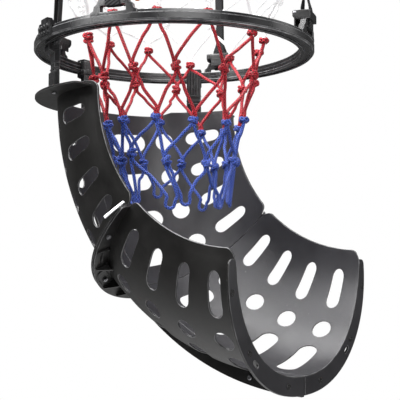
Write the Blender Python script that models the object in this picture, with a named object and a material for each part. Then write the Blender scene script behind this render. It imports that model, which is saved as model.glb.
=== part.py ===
"""Basketball hoop with a ball-return chute.

A hoop on a wall bracket carries a net and, on four buckled straps, a plastic ring.
Three carriages ride on the ring and carry a two-module chute, which swivels all the way round.
Metres, +Z up, the origin is the centre of the bracket's back face, and the hoop points along -Y.
"""

import math

import bmesh
import bpy
from mathutils import Matrix, Vector

# Clearances
GAP = 0.0003
RUNNING_GAP = 0.001
CUT_OVERRUN = 0.010
MERGE_SINK = 0.001

# Hoop and bracket
RIM_INNER_RADIUS = 0.2286
RIM_TUBE_RADIUS = 0.008
RIM_SETBACK = 0.151
HOOK_COUNT = 12
HOOK_ROD_RADIUS = 0.0025
HOOK_DROP = 0.014
HOOK_REACH = 0.0135
HOOK_TIP_RISE = 0.008
PLATE_WIDTH = 0.150
PLATE_HEIGHT = 0.120
PLATE_THICKNESS = 0.006
PLATE_HOLE_RADIUS = 0.0055
PLATE_HOLE_INSET = 0.022
SHELF_WIDTH = 0.110
SHELF_THICKNESS = 0.005
SHELF_LAP = 0.003
GUSSET_SETBACK = 0.030
GUSSET_NOSE = 0.008
GUSSET_TOP_INSET = 0.012
BRACE_RADIUS = 0.006
BRACE_SPREAD = math.radians(38)
BRACE_FOOT_RISE = 0.055

# Net
NET_THICKNESS = 0.006
NET_WAIST_RADIUS = 0.160
NET_LOW_RADIUS = 0.124
NET_HEM_RADIUS = 0.098
NET_WHITE_LENGTH = 0.150
NET_RED_LENGTH = 0.155
NET_BLUE_LENGTH = 0.141

# Support ring
RIM_TO_RING = 0.205
RING_OVERHANG = 0.0214
RING_WIDTH = 0.025
RING_HEIGHT = 0.018
TOP_GROOVE_INSET = 0.005
TOP_GROOVE_WIDTH = 0.0095
TOP_GROOVE_DEPTH = 0.006
BOTTOM_GROOVE_INSET = 0.007
BOTTOM_GROOVE_WIDTH = 0.011
BOTTOM_GROOVE_DEPTH = 0.003
RING_SEAM_TURN = math.radians(188.6)
CLASP_WIDTH = 0.050
CLASP_THICKNESS = 0.004
CLASP_RISE = 0.006
CLASP_INSET = 0.0025
CLASP_FOOT = 0.001
CLASP_CHAMFER = 0.002
SPIGOT_LENGTH = 0.040
SPIGOT_HEIGHT = 0.004
SPIGOT_WIDTH = 0.006
SPIGOT_RISE = 0.006
SPIGOT_INSET = 0.0055

# Lugs on the ring
LUG_COUNT = 4
LUG_TURN = math.radians(44.6)
LUG_THICKNESS = 0.0095
LUG_PROUD = 0.0006
LUG_BASE_WIDTH = 0.082
LUG_TOP_WIDTH = 0.058
LUG_SHOULDER = 0.011
LUG_RISE = 0.022
LUG_SLOT_WIDTH = 0.045
LUG_SLOT_HEIGHT = 0.012
LUG_SLOT_SINK = 0.002
LUG_SINK = 0.006
LUG_FOOT = 0.003
LUG_EASE = 0.005
LUG_STEP = 0.002

# Straps and buckles
STRAP_WIDTH = 0.025
STRAP_THICKNESS = 0.0016
STRAP_CORNER = 0.001
BUCKLE_CLEARANCE = 0.0005
BUCKLE_PIN_INSET = 0.003
BUCKLE_WIDTH = 0.046
BUCKLE_ROOM_INSIDE = 0.00565
BUCKLE_ROOM_OUTSIDE = 0.00235
BUCKLE_MOUTH_DEPTH = 0.0104
BUCKLE_WALL = 0.0028
BUCKLE_HUB_WALL = 0.0015
BUCKLE_HEIGHT = 0.016
BUCKLE_PIN_RADIUS = 0.002
LEVER_HUB_WALL = 0.0018
LEVER_LENGTH = 0.022
LEVER_THICKNESS = 0.003
LEVER_TIP_THINNING = 0.001
LEVER_NECK = 1.2

# Carriages
CARRIAGE_SPREAD = math.radians(61)
CARRIAGE_WIDTH = 0.028
CARRIAGE_THICKNESS = 0.010
CARRIAGE_HOOK_THICKNESS = 0.003
CARRIAGE_HOOK_REACH = 0.0030
CARRIAGE_JAW_HEIGHT = 0.010
CARRIAGE_JAW_REACH = 0.020
CARRIAGE_FOOT_HEIGHT = 0.030
CARRIAGE_FOOT_THICKNESS = 0.013
CARRIAGE_FOOT_CHAMFER = 0.002
CARRIAGE_JAW_FILLET = 0.003
CARRIAGE_HOOK_DEPTH = 0.004
CARRIAGE_HOOK_CHAMFER = 0.001
GLIDE_THICKNESS = 0.0020
GLIDE_SHARE = 0.9

# Chute
CHUTE_TURN = math.radians(28)
CHUTE_SETBACK = 0.019
RING_TO_CHUTE = 0.076
CHUTE_SIDE_INSET = 0.038
CHUTE_DEPTH = 0.200
CHUTE_SQUARENESS = 2.26
BEND_RADIUS = 0.472
MODULE_ANGLE = math.radians(45)
MODULE_GAP = 0.0008
WALL = 0.003
END_FLANGE_REACH = 0.031
TOP_FLANGE_REACH = 0.043
END_FLANGE_THICKNESS = 0.005
FLANGE_NARROWING = 0.45
KEEL_REACH = 0.034
KEEL_THICKNESS = 0.0035
CORNER_RADIUS = 0.026
CORNER_SHARES = (0.40, 0.65, 1.0)
HOLE_PITCH = math.radians(10.2)
WALL_SLOT_PLACE = 0.2395
WALL_SLOT_LENGTH = 0.072
WALL_SLOT_WIDTH = 0.028
ROUND_HOLE_PLACE = 0.160
ROUND_HOLE_RADIUS = 0.0172
FLOOR_SLOT_EDGE = 0.121
FLOOR_SLOT_LENGTHS = (0.072, 0.076, 0.082, 0.096)
FLOOR_SLOT_WIDTH = 0.0325
HOLE_OVERRUN = 0.006

# Fasteners
BOLT_RADIUS = 0.0022
BOLT_HEAD_RADIUS = 0.0045
BOLT_HEAD_HEIGHT = 0.003
JOINT_BOLT_PLACES = (-0.235, -0.125, -0.030, 0.030, 0.125, 0.235)
KEEL_BOLT_ANGLES = (math.radians(12), math.radians(33))
KEEL_BOLT_SHARE = 0.62
JOINT_BOLT_SHARE = 0.45
BOLT_HOLE_OVERRUN = 0.004
SCREW_LENGTH = 0.016

# Mesh fineness
RING_STEPS = 60
TUBE_STEPS = 8
BEND_STEPS = 6
SECTION_STEPS = 8
STRAP_STEPS = 28
ROUND_STEPS = 12
SLOT_END_STEPS = 3

# Levels and axes worked out from the sizes above
HOOP_REACH = RIM_SETBACK + RIM_INNER_RADIUS
RIM_RADIUS = RIM_INNER_RADIUS + RIM_TUBE_RADIUS
SHELF_Z = -PLATE_HEIGHT / 2
RIM_Z = SHELF_Z - RIM_TUBE_RADIUS - GAP
RING_BOTTOM = RIM_Z - RIM_TO_RING
RING_TOP = RING_BOTTOM + RING_HEIGHT
CHUTE_TOP = RING_BOTTOM - RING_TO_CHUTE
RING_OUTER_RADIUS = RIM_INNER_RADIUS + RING_OVERHANG
RING_INNER_RADIUS = RING_OUTER_RADIUS - RING_WIDTH
TOP_GROOVE_INNER = RING_INNER_RADIUS + TOP_GROOVE_INSET
TOP_GROOVE_OUTER = TOP_GROOVE_INNER + TOP_GROOVE_WIDTH
BOTTOM_GROOVE_INNER = RING_INNER_RADIUS + BOTTOM_GROOVE_INSET
BOTTOM_GROOVE_OUTER = BOTTOM_GROOVE_INNER + BOTTOM_GROOVE_WIDTH
CHUTE_BACK = RING_INNER_RADIUS - CHUTE_SETBACK
CHUTE_HALF_WIDTH = RING_INNER_RADIUS - CHUTE_SIDE_INSET
HOOP_AXIS = Vector((0.0, -HOOP_REACH, 0.0))

BLACK_PLASTIC = ("black_plastic", (0.045, 0.045, 0.048), 0.42, 0.0)
BLACK_METAL = ("black_metal", (0.03, 0.03, 0.03), 0.45, 0.6)
ORANGE_PAINT = ("orange_paint", (0.75, 0.16, 0.03), 0.35, 0.0)
ZINC = ("zinc", (0.62, 0.63, 0.65), 0.35, 1.0)
WEBBING = ("webbing", (0.02, 0.02, 0.022), 0.85, 0.0)
WHITE_CORD = ("white_cord", (0.85, 0.85, 0.85), 0.8, 0.0)
RED_CORD = ("red_cord", (0.60, 0.02, 0.04), 0.7, 0.0)
BLUE_CORD = ("blue_cord", (0.05, 0.09, 0.55), 0.7, 0.0)
ACETAL = ("acetal", (0.80, 0.80, 0.78), 0.3, 0.0)


def clear_scene():
    for thing in list(bpy.data.objects):
        bpy.data.objects.remove(thing, do_unlink=True)


def material(spec):
    name, colour, roughness, metallic = spec
    found = bpy.data.materials.get(name)
    if found:
        return found
    made = bpy.data.materials.new(name)
    made.use_nodes = True
    shader = made.node_tree.nodes["Principled BSDF"]
    shader.inputs["Base Color"].default_value = (*colour, 1.0)
    shader.inputs["Roughness"].default_value = roughness
    shader.inputs["Metallic"].default_value = metallic
    return made


def finish(name, bm, spec=None, parent=None, smooth=False):
    """Makes an object of a bmesh, with its faces pointing out. No material makes it a hidden cutter."""
    bmesh.ops.remove_doubles(bm, verts=bm.verts, dist=1e-6)
    bmesh.ops.recalc_face_normals(bm, faces=bm.faces)
    mesh = bpy.data.meshes.new(name)
    bm.to_mesh(mesh)
    bm.free()
    thing = bpy.data.objects.new(name, mesh)
    bpy.context.scene.collection.objects.link(thing)
    if smooth:
        mesh.shade_smooth()
        mesh.set_sharp_from_angle(angle=math.radians(35))
    if spec:
        mesh.materials.append(material(spec))
    else:
        thing.hide_render = True
        thing.display_type = "WIRE"
    if parent:
        thing.parent = parent
    return thing


def boolean(thing, tool, operation):
    change = thing.modifiers.new(f"{operation.lower()}_{tool.name}", "BOOLEAN")
    change.operation = operation
    change.solver = "EXACT"
    change.object = tool


def empty(name, place, turn=0.0, parent=None):
    made = bpy.data.objects.new(name, None)
    made.location = place
    made.rotation_euler = (0.0, 0.0, turn)
    bpy.context.scene.collection.objects.link(made)
    made.parent = parent
    return made


def box(bm, low, high):
    """Adds a box between two corners."""
    low, high = Vector(low), Vector(high)
    place = Matrix.Translation((low + high) / 2) @ Matrix.Diagonal((*(high - low), 1.0))
    bmesh.ops.create_cube(bm, size=1.0, matrix=place)


def rod(bm, start, end, radius, steps=12):
    """Adds a closed cylinder between two points."""
    start, end = Vector(start), Vector(end)
    along = end - start
    place = Matrix.Translation((start + end) / 2) @ along.to_track_quat("Z", "Y").to_matrix().to_4x4()
    bmesh.ops.create_cone(
        bm, cap_ends=True, segments=steps, radius1=radius, radius2=radius, depth=along.length, matrix=place
    )


def loft(bm, loops, close_ends=True, close_around=False):
    """Joins loops of as many points each into a skin. A run of loops gets end faces, or closes on itself."""
    rows = [[bm.verts.new(point) for point in loop] for loop in loops]
    pairs = list(zip(rows, rows[1:]))
    if close_around:
        pairs.append((rows[-1], rows[0]))
    for near, far in pairs:
        count = len(near)
        for i in range(count):
            bm.faces.new((near[i], near[(i + 1) % count], far[(i + 1) % count], far[i]))
    if close_ends and not close_around:
        bm.faces.new(rows[0])
        bm.faces.new(rows[-1])


def turned(bm, profile, steps, start=0.0, sweep=math.tau):
    """Turns a closed outline of (radius, height) points about Z."""
    whole = abs(sweep - math.tau) < 1e-9
    count = steps if whole else steps + 1
    loops = []
    for i in range(count):
        angle = start + sweep * i / steps
        loops.append([(r * math.cos(angle), r * math.sin(angle), z) for r, z in profile])
    loft(bm, loops, close_ends=not whole, close_around=whole)


def circle_outline(centre, radius, steps):
    turns = (math.tau * i / steps for i in range(steps))
    return [(centre[0] + radius * math.cos(a), centre[1] + radius * math.sin(a)) for a in turns]


# ---------------------------------------------------------------- hoop


def make_back_plate():
    """Steel plate with four bolt holes; its rear face is the mount."""
    bm = bmesh.new()
    half_w, half_h = PLATE_WIDTH / 2, PLATE_HEIGHT / 2
    box(bm, (-half_w, -PLATE_THICKNESS, -half_h), (half_w, 0.0, half_h))
    thing = finish("back_plate", bm, ORANGE_PAINT)
    bm = bmesh.new()
    for x in (-half_w + PLATE_HOLE_INSET, half_w - PLATE_HOLE_INSET):
        for z in (-half_h + PLATE_HOLE_INSET, half_h - PLATE_HOLE_INSET):
            rod(bm, (x, -2 * PLATE_THICKNESS, z), (x, PLATE_THICKNESS, z), PLATE_HOLE_RADIUS, 16)
    boolean(thing, finish("plate_holes", bm), "DIFFERENCE")
    return thing


def make_rim_bracket():
    """Steel shelf welded on top of the rim tube, with two gussets that rise to the plate."""
    bm = bmesh.new()
    half = SHELF_WIDTH / 2
    back = -PLATE_THICKNESS - GAP
    top = SHELF_Z + SHELF_THICKNESS
    steps = 8
    reach = RIM_INNER_RADIUS + SHELF_LAP
    swing = math.asin(half / reach)
    edge = [(half, back), (-half, back)]
    for i in range(steps + 1):
        a = math.radians(90) + swing * (1 - 2 * i / steps)
        edge.append((reach * math.cos(a), reach * math.sin(a) - HOOP_REACH))
    loft(bm, [[(x, y, z) for x, y in edge] for z in (SHELF_Z, top)])
    thing = finish("rim_bracket", bm, ORANGE_PAINT)
    gusset_low = top - MERGE_SINK
    front = -RIM_SETBACK + GUSSET_SETBACK
    for side in (-1, 1):
        bm = bmesh.new()
        x = side * (half - 1.5 * SHELF_THICKNESS)
        outline = [(back, gusset_low), (front, gusset_low), (front, top + GUSSET_NOSE)]
        outline.append((back, PLATE_HEIGHT / 2 - GUSSET_TOP_INSET))
        low, high = x - SHELF_THICKNESS / 2, x + SHELF_THICKNESS / 2
        loft(bm, [[(low, y, z) for y, z in outline], [(high, y, z) for y, z in outline]])
        boolean(thing, finish(f"gusset_{side}", bm), "UNION")
    return thing


def make_rim():
    """Round steel tube with twelve net hooks welded under it."""
    bm = bmesh.new()
    turned(bm, circle_outline((RIM_RADIUS, RIM_Z), RIM_TUBE_RADIUS, TUBE_STEPS), RING_STEPS)
    thing = finish("rim", bm, ORANGE_PAINT, smooth=True)
    thing.location = HOOP_AXIS
    bm = bmesh.new()
    for i in range(HOOK_COUNT):
        turn = Matrix.Rotation(math.tau * i / HOOK_COUNT, 4, "Z")
        inward = RIM_RADIUS - HOOK_REACH
        drop = RIM_Z - RIM_TUBE_RADIUS - HOOK_DROP
        path = [(RIM_RADIUS, RIM_Z), (RIM_RADIUS, drop), (inward, drop), (inward, drop + HOOK_TIP_RISE)]
        wide = HOOK_ROD_RADIUS
        outline = [(path[0][0] + wide, path[0][1]), (path[1][0] + wide, path[1][1] - wide)]
        outline += [(path[2][0] - wide, path[2][1] - wide), (path[3][0] - wide, path[3][1])]
        outline += [(path[3][0] + wide, path[3][1]), (path[2][0] + wide, path[2][1] + wide)]
        outline += [(path[1][0] - wide, path[1][1] + wide), (path[0][0] - wide, path[0][1])]
        loft(bm, [[turn @ Vector((r, y, z)) for r, z in outline] for y in (-wide, wide)])
    hooks = finish("hooks", bm)
    hooks.location = HOOP_AXIS
    boolean(thing, hooks, "UNION")
    return thing


def make_brace(name, side):
    """Round steel stay from the side of the plate down to the top of the rim tube."""
    bm = bmesh.new()
    angle = math.radians(90) - side * BRACE_SPREAD
    rim_point = HOOP_AXIS + RIM_RADIUS * Vector((math.cos(angle), math.sin(angle), 0.0))
    foot_x = side * (PLATE_WIDTH / 2 - 2 * BRACE_RADIUS)
    foot = Vector((foot_x, CUT_OVERRUN, SHELF_Z + BRACE_FOOT_RISE))
    end = Vector((rim_point.x, rim_point.y, RIM_Z + RIM_TUBE_RADIUS + BRACE_RADIUS + GAP))
    end -= (foot - end).normalized() * BRACE_RADIUS
    end.z += BRACE_RADIUS / 2
    rod(bm, foot, end, BRACE_RADIUS, 12)
    thing = finish(name, bm, ORANGE_PAINT, smooth=True)
    bm = bmesh.new()
    box(bm, (-0.5, -PLATE_THICKNESS - GAP, -0.5), (0.5, 0.1, 0.5))
    boolean(thing, finish(f"{name}_trim", bm), "DIFFERENCE")
    return thing


# ---------------------------------------------------------------- net


def make_net(name, spec, top, upper_radius, length, lower_radius):
    """One dyed band of the knotted net, as a plain tapered sleeve."""
    bm = bmesh.new()
    low = top - length
    profile = [(upper_radius, top), (lower_radius, low)]
    profile += [(lower_radius - NET_THICKNESS, low), (upper_radius - NET_THICKNESS, top)]
    turned(bm, profile, 24)
    thing = finish(name, bm, spec, smooth=True)
    thing.location = HOOP_AXIS
    return thing


def make_nets():
    half = NET_THICKNESS / 2
    top = RIM_Z - RIM_TUBE_RADIUS - HOOK_DROP - HOOK_ROD_RADIUS - GAP
    top_radius = RIM_RADIUS - HOOK_REACH + half
    middle = top - NET_WHITE_LENGTH - GAP
    low = middle - NET_RED_LENGTH - GAP
    waist, low_waist, hem = (r + half for r in (NET_WAIST_RADIUS, NET_LOW_RADIUS, NET_HEM_RADIUS))
    make_net("net_white", WHITE_CORD, top, top_radius, NET_WHITE_LENGTH, waist)
    make_net("net_red", RED_CORD, middle, waist, NET_RED_LENGTH, low_waist)
    make_net("net_blue", BLUE_CORD, low, low_waist, NET_BLUE_LENGTH, hem)


# ---------------------------------------------------------------- support ring


def ring_profile():
    floor = RING_TOP - TOP_GROOVE_DEPTH
    roof = RING_BOTTOM + BOTTOM_GROOVE_DEPTH
    return [
        (RING_INNER_RADIUS, RING_BOTTOM),
        (BOTTOM_GROOVE_INNER, RING_BOTTOM),
        (BOTTOM_GROOVE_INNER, roof),
        (BOTTOM_GROOVE_OUTER, roof),
        (BOTTOM_GROOVE_OUTER, RING_BOTTOM),
        (RING_OUTER_RADIUS, RING_BOTTOM),
        (RING_OUTER_RADIUS, RING_TOP),
        (TOP_GROOVE_OUTER, RING_TOP),
        (TOP_GROOVE_OUTER, floor),
        (TOP_GROOVE_INNER, floor),
        (TOP_GROOVE_INNER, RING_TOP),
        (RING_INNER_RADIUS, RING_TOP),
    ]


def spigot_box(extra):
    """Corners of the spigot in the ring's web at the far seam, seen with the seam on +X."""
    middle = (BOTTOM_GROOVE_OUTER + RING_OUTER_RADIUS) / 2
    height = RING_BOTTOM + SPIGOT_RISE
    half_w, half_h = SPIGOT_WIDTH / 2 + extra, SPIGOT_HEIGHT / 2 + extra
    half_l = SPIGOT_LENGTH / 2 + extra
    wide = middle - SPIGOT_INSET
    return (wide - half_w, -half_l, height - half_h), (wide + half_w, half_l, height + half_h)


def make_ring_half(name, start):
    """Half of the moulded ring, with two lugs and a pocket for the spigot."""
    seam = GAP / RING_OUTER_RADIUS
    bm = bmesh.new()
    turned(bm, ring_profile(), RING_STEPS // 2, start + seam, math.pi - 2 * seam)
    thing = finish(name, bm, BLACK_PLASTIC, smooth=True)
    thing.location = HOOP_AXIS
    lugs = bmesh.new()
    slots = bmesh.new()
    bars = [LUG_TURN + math.tau * i / LUG_COUNT for i in range(LUG_COUNT)]
    inner, outer = RING_OUTER_RADIUS - LUG_THICKNESS, RING_OUTER_RADIUS + LUG_PROUD
    half_base, half_top = LUG_BASE_WIDTH / 2, LUG_TOP_WIDTH / 2
    rise = [(half_base, 0.0), (half_base - LUG_EASE, LUG_FOOT)]
    rise += [(half_base - LUG_EASE - LUG_STEP, LUG_SHOULDER), (half_top, LUG_SHOULDER + LUG_STEP)]
    rise += [(half_top - LUG_EASE, LUG_RISE), (LUG_SLOT_WIDTH / 4, LUG_RISE)]
    rise += [(-x, z) for x, z in reversed(rise)]
    for angle in bars:
        if (angle - start) % math.tau > math.pi:
            continue
        loops = []
        for x, z in rise:
            side = Matrix.Rotation(angle + x / RING_OUTER_RADIUS, 4, "Z")
            low, high = RING_TOP - LUG_SINK, RING_TOP + z
            corners = ((inner, low), (outer, low), (outer, high), (inner, high))
            loops.append([side @ Vector((r, 0.0, h)) for r, h in corners])
        loft(lugs, loops)
        turn = Matrix.Rotation(angle, 4, "Z")
        half, low = LUG_SLOT_WIDTH / 2, slot_bottom()
        high = low + LUG_SLOT_HEIGHT
        corners = [(-half, low), (half, low), (half, high), (-half, high)]
        reaches = (inner - CUT_OVERRUN, RING_OUTER_RADIUS + CUT_OVERRUN)
        loft(slots, [[turn @ Vector((x, y, z)) for y, z in corners] for x in reaches])
    lug_tool = finish(f"{name}_lugs", lugs)
    slot_tool = finish(f"{name}_slots", slots)
    pocket = bmesh.new()
    low, high = spigot_box(GAP)
    corners = [(low[0], low[2]), (high[0], low[2]), (high[0], high[2]), (low[0], high[2])]
    turn = Matrix.Rotation(RING_SEAM_TURN + math.pi, 4, "Z")
    loft(pocket, [[turn @ Vector((x, y, z)) for x, z in corners] for y in (low[1], high[1])])
    pocket_tool = finish(f"{name}_pocket", pocket)
    cuts = [(slot_tool, "DIFFERENCE"), (pocket_tool, "DIFFERENCE")]
    for tool, operation in [(lug_tool, "UNION"), *cuts]:
        tool.location = HOOP_AXIS
        boolean(thing, tool, operation)
    return thing


def slot_bottom():
    return RING_TOP - LUG_SLOT_SINK


def make_spigot():
    """Flat steel key that joins the ring halves at the plain seam."""
    bm = bmesh.new()
    low, high = spigot_box(0.0)
    box(bm, low, high)
    thing = finish("ring_spigot", bm, ZINC)
    thing.location = HOOP_AXIS
    thing.rotation_euler = (0.0, 0.0, RING_SEAM_TURN + math.pi)
    return thing


def make_clasp():
    """Clasp over the outer edge of the other seam."""
    bm = bmesh.new()
    half = CLASP_WIDTH / 2 / RING_OUTER_RADIUS
    near = TOP_GROOVE_OUTER + CLASP_INSET
    far = RING_OUTER_RADIUS + CLASP_THICKNESS
    top = RING_TOP + CLASP_RISE
    profile = [
        (RING_OUTER_RADIUS + GAP, RING_BOTTOM + CLASP_FOOT),
        (far, RING_BOTTOM + CLASP_FOOT),
        (far, top - CLASP_CHAMFER),
        (far - CLASP_CHAMFER, top),
        (near, top),
        (near, RING_TOP + GAP),
        (RING_OUTER_RADIUS + GAP, RING_TOP + GAP),
    ]
    turned(bm, profile, 8, RING_SEAM_TURN - half, 2 * half)
    thing = finish("ring_clasp", bm, BLACK_PLASTIC, smooth=True)
    thing.location = HOOP_AXIS
    return thing


# ---------------------------------------------------------------- straps and buckles


def hull_outline(circles, steps):
    """Points round the tightest belt about some circles of (x, z, radius)."""
    points = []
    for i in range(steps):
        angle = math.tau * (i + 0.5) / steps
        dx, dz = math.cos(angle), math.sin(angle)
        x, z, r = max(circles, key=lambda c: c[0] * dx + c[1] * dz + c[2])
        points.append((x + r * dx, z + r * dz))
    return points


def bow(radius, width):
    """How far a round edge falls away over half the width of a flat strap laid across it."""
    return radius - math.sqrt(radius**2 - (width / 2) ** 2)


def strap_circles(extra):
    """The rim tube and the lug's bar over its slot, as circles in the (radius, height) plane."""
    corner = STRAP_CORNER
    inner, outer = RING_OUTER_RADIUS - LUG_THICKNESS, RING_OUTER_RADIUS + LUG_PROUD
    bar_low = slot_bottom() + LUG_SLOT_HEIGHT + corner
    slack = GAP + bow(RIM_RADIUS - RIM_TUBE_RADIUS, STRAP_WIDTH)
    grip = corner + slack + extra
    return [
        (RIM_RADIUS, RIM_Z, RIM_TUBE_RADIUS + slack + extra),
        (inner + corner, bar_low, grip),
        (outer - corner, bar_low, grip),
        (outer - corner, RING_TOP + LUG_RISE - corner, grip),
    ]


def make_strap(index, pivot):
    """Webbing loop over the rim tube and through the lug's slot."""
    inner = hull_outline(strap_circles(0.0), STRAP_STEPS)
    outer = hull_outline(strap_circles(STRAP_THICKNESS), STRAP_STEPS)
    bm = bmesh.new()
    half = STRAP_WIDTH / 2
    loops = []
    for (xi, zi), (xo, zo) in zip(inner, outer):
        loops.append([(xi, -half, zi), (xo, -half, zo), (xo, half, zo), (xi, half, zi)])
    loft(bm, loops, close_around=True)
    return finish(f"strap_{index}", bm, WEBBING, pivot)


def buckle_low():
    return RING_TOP + LUG_RISE + BUCKLE_CLEARANCE


def buckle_window():
    """Inner and outer radius of the frame's window, which holds both runs of the strap."""
    inner, outer = RING_OUTER_RADIUS - LUG_THICKNESS, RING_OUTER_RADIUS + LUG_PROUD
    return inner - BUCKLE_ROOM_INSIDE, outer + BUCKLE_ROOM_OUTSIDE


def lever_axis():
    """Radius and height of the lever's pin."""
    hub = BUCKLE_PIN_RADIUS + LEVER_HUB_WALL
    return buckle_window()[0] - BUCKLE_HUB_WALL - 2 * GAP - hub, buckle_low() + BUCKLE_HEIGHT - hub


def make_buckle(index, pivot):
    """Cam buckle: a frame round both runs of the strap, a pin, and a lever that folds down inside."""
    half_w = BUCKLE_WIDTH / 2
    low = buckle_low()
    high = low + BUCKLE_HEIGHT
    window_in, window_out = buckle_window()
    inner, outer = window_in - BUCKLE_MOUTH_DEPTH, window_out + BUCKLE_WALL
    pin_r, pin_z = lever_axis()
    bm = bmesh.new()
    box(bm, (inner, -half_w, low), (outer, half_w, high))
    frame = finish(f"buckle_frame_{index}", bm, BLACK_METAL, pivot)
    cut = bmesh.new()
    half_strap = STRAP_WIDTH / 2 + RUNNING_GAP
    cut_low, cut_high = low - MERGE_SINK, high + MERGE_SINK
    box(cut, (window_in, -half_strap, cut_low), (window_out, half_strap, cut_high))
    window = finish(f"buckle_window_{index}", cut, parent=pivot)
    cut = bmesh.new()
    mouth_low = (inner - MERGE_SINK, -half_strap, cut_low)
    box(cut, mouth_low, (window_in - BUCKLE_HUB_WALL, half_strap, cut_high))
    mouth = finish(f"buckle_mouth_{index}", cut, parent=pivot)
    cut = bmesh.new()
    reach = half_w - BUCKLE_PIN_INSET
    bore_end = reach + GAP
    bore_radius = BUCKLE_PIN_RADIUS + GAP
    rod(cut, (pin_r, -bore_end, pin_z), (pin_r, bore_end, pin_z), bore_radius, ROUND_STEPS)
    bore = finish(f"buckle_bore_{index}", cut, parent=pivot)
    for tool in (window, mouth, bore):
        boolean(frame, tool, "DIFFERENCE")

    axis = empty(f"lever_axis_{index}", (pin_r, 0.0, pin_z), parent=pivot)
    bm = bmesh.new()
    rod(bm, (0.0, -reach, 0.0), (0.0, reach, 0.0), BUCKLE_PIN_RADIUS, ROUND_STEPS)
    finish(f"buckle_pin_{index}", bm, ZINC, axis, smooth=True)

    bm = bmesh.new()
    thumb = half_strap - RUNNING_GAP / 2
    hub = BUCKLE_PIN_RADIUS + LEVER_HUB_WALL
    arc = (math.radians(-40 + 20 * i) for i in range(ROUND_STEPS))
    outline = [(hub * math.cos(a), hub * math.sin(a)) for a in arc]
    front = -hub + LEVER_THICKNESS
    outline += [(-hub, -LEVER_LENGTH), (front - LEVER_TIP_THINNING, -LEVER_LENGTH)]
    outline.append((front, -hub * LEVER_NECK))
    loft(bm, [[(x, y, z) for x, z in outline] for y in (-thumb, thumb)])
    lever = finish(f"buckle_lever_{index}", bm, BLACK_METAL, axis)
    cut = bmesh.new()
    rod(cut, (0.0, -reach, 0.0), (0.0, reach, 0.0), bore_radius, ROUND_STEPS)
    boolean(lever, finish(f"lever_bore_{index}", cut, parent=axis), "DIFFERENCE")


# ---------------------------------------------------------------- chute


def section_point(place, offset):
    """A point of the chute's section: across, and up from the floor of the U.

    place runs from -1 at one edge, over 0 at the floor, to 1 at the other; offset is outwards.
    """
    angle = place * math.pi / 2
    power = 2 / CHUTE_SQUARENESS
    across = CHUTE_HALF_WIDTH * math.copysign(abs(math.sin(angle)) ** power, angle)
    up = CHUTE_DEPTH - CHUTE_DEPTH * math.cos(angle) ** power
    if not offset:
        return across, up
    slope = CHUTE_SQUARENESS - 1
    nx = abs(across / CHUTE_HALF_WIDTH) ** slope / CHUTE_HALF_WIDTH
    nz = abs((CHUTE_DEPTH - up) / CHUTE_DEPTH) ** slope / CHUTE_DEPTH
    size = math.hypot(nx, nz)
    return across + offset * math.copysign(nx, angle) / size, up - offset * nz / size


def arc_table(steps=400):
    """Arc length from the floor of the U to each of many places, up to its edge."""
    table = [(0.0, 0.0)]
    last = section_point(0.0, 0.0)
    length = 0.0
    for i in range(1, steps + 1):
        here = section_point(i / steps, 0.0)
        length += math.hypot(here[0] - last[0], here[1] - last[1])
        table.append((length, i / steps))
        last = here
    return table


ARC = arc_table()


def place_at(length):
    """The section place that lies a given arc length from the floor of the U."""
    wanted = abs(length)
    for (low, a), (high, b) in zip(ARC, ARC[1:]):
        if wanted <= high:
            return math.copysign(a + (b - a) * (wanted - low) / (high - low), length)
    return math.copysign(1.0, length)


def chute_point(bend, place, offset=0.0, along=0.0):
    """A point of the chute, from the ring's axis. bend turns from 0 at the top to the mouth.

    along shifts the point down the chute, square to its section.
    """
    across, up = section_point(place, offset)
    radius = BEND_RADIUS - up
    y = CHUTE_BACK - BEND_RADIUS + radius * math.cos(bend)
    z = CHUTE_TOP - radius * math.sin(bend)
    return Vector((across, y - along * math.sin(bend), z - along * math.cos(bend)))


def corner_trim(distance):
    """How far the wall's edge is lowered at a distance from the module's end."""
    if distance >= CORNER_RADIUS:
        return 0.0
    return CORNER_RADIUS - math.sqrt(CORNER_RADIUS**2 - (CORNER_RADIUS - distance) ** 2)


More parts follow.
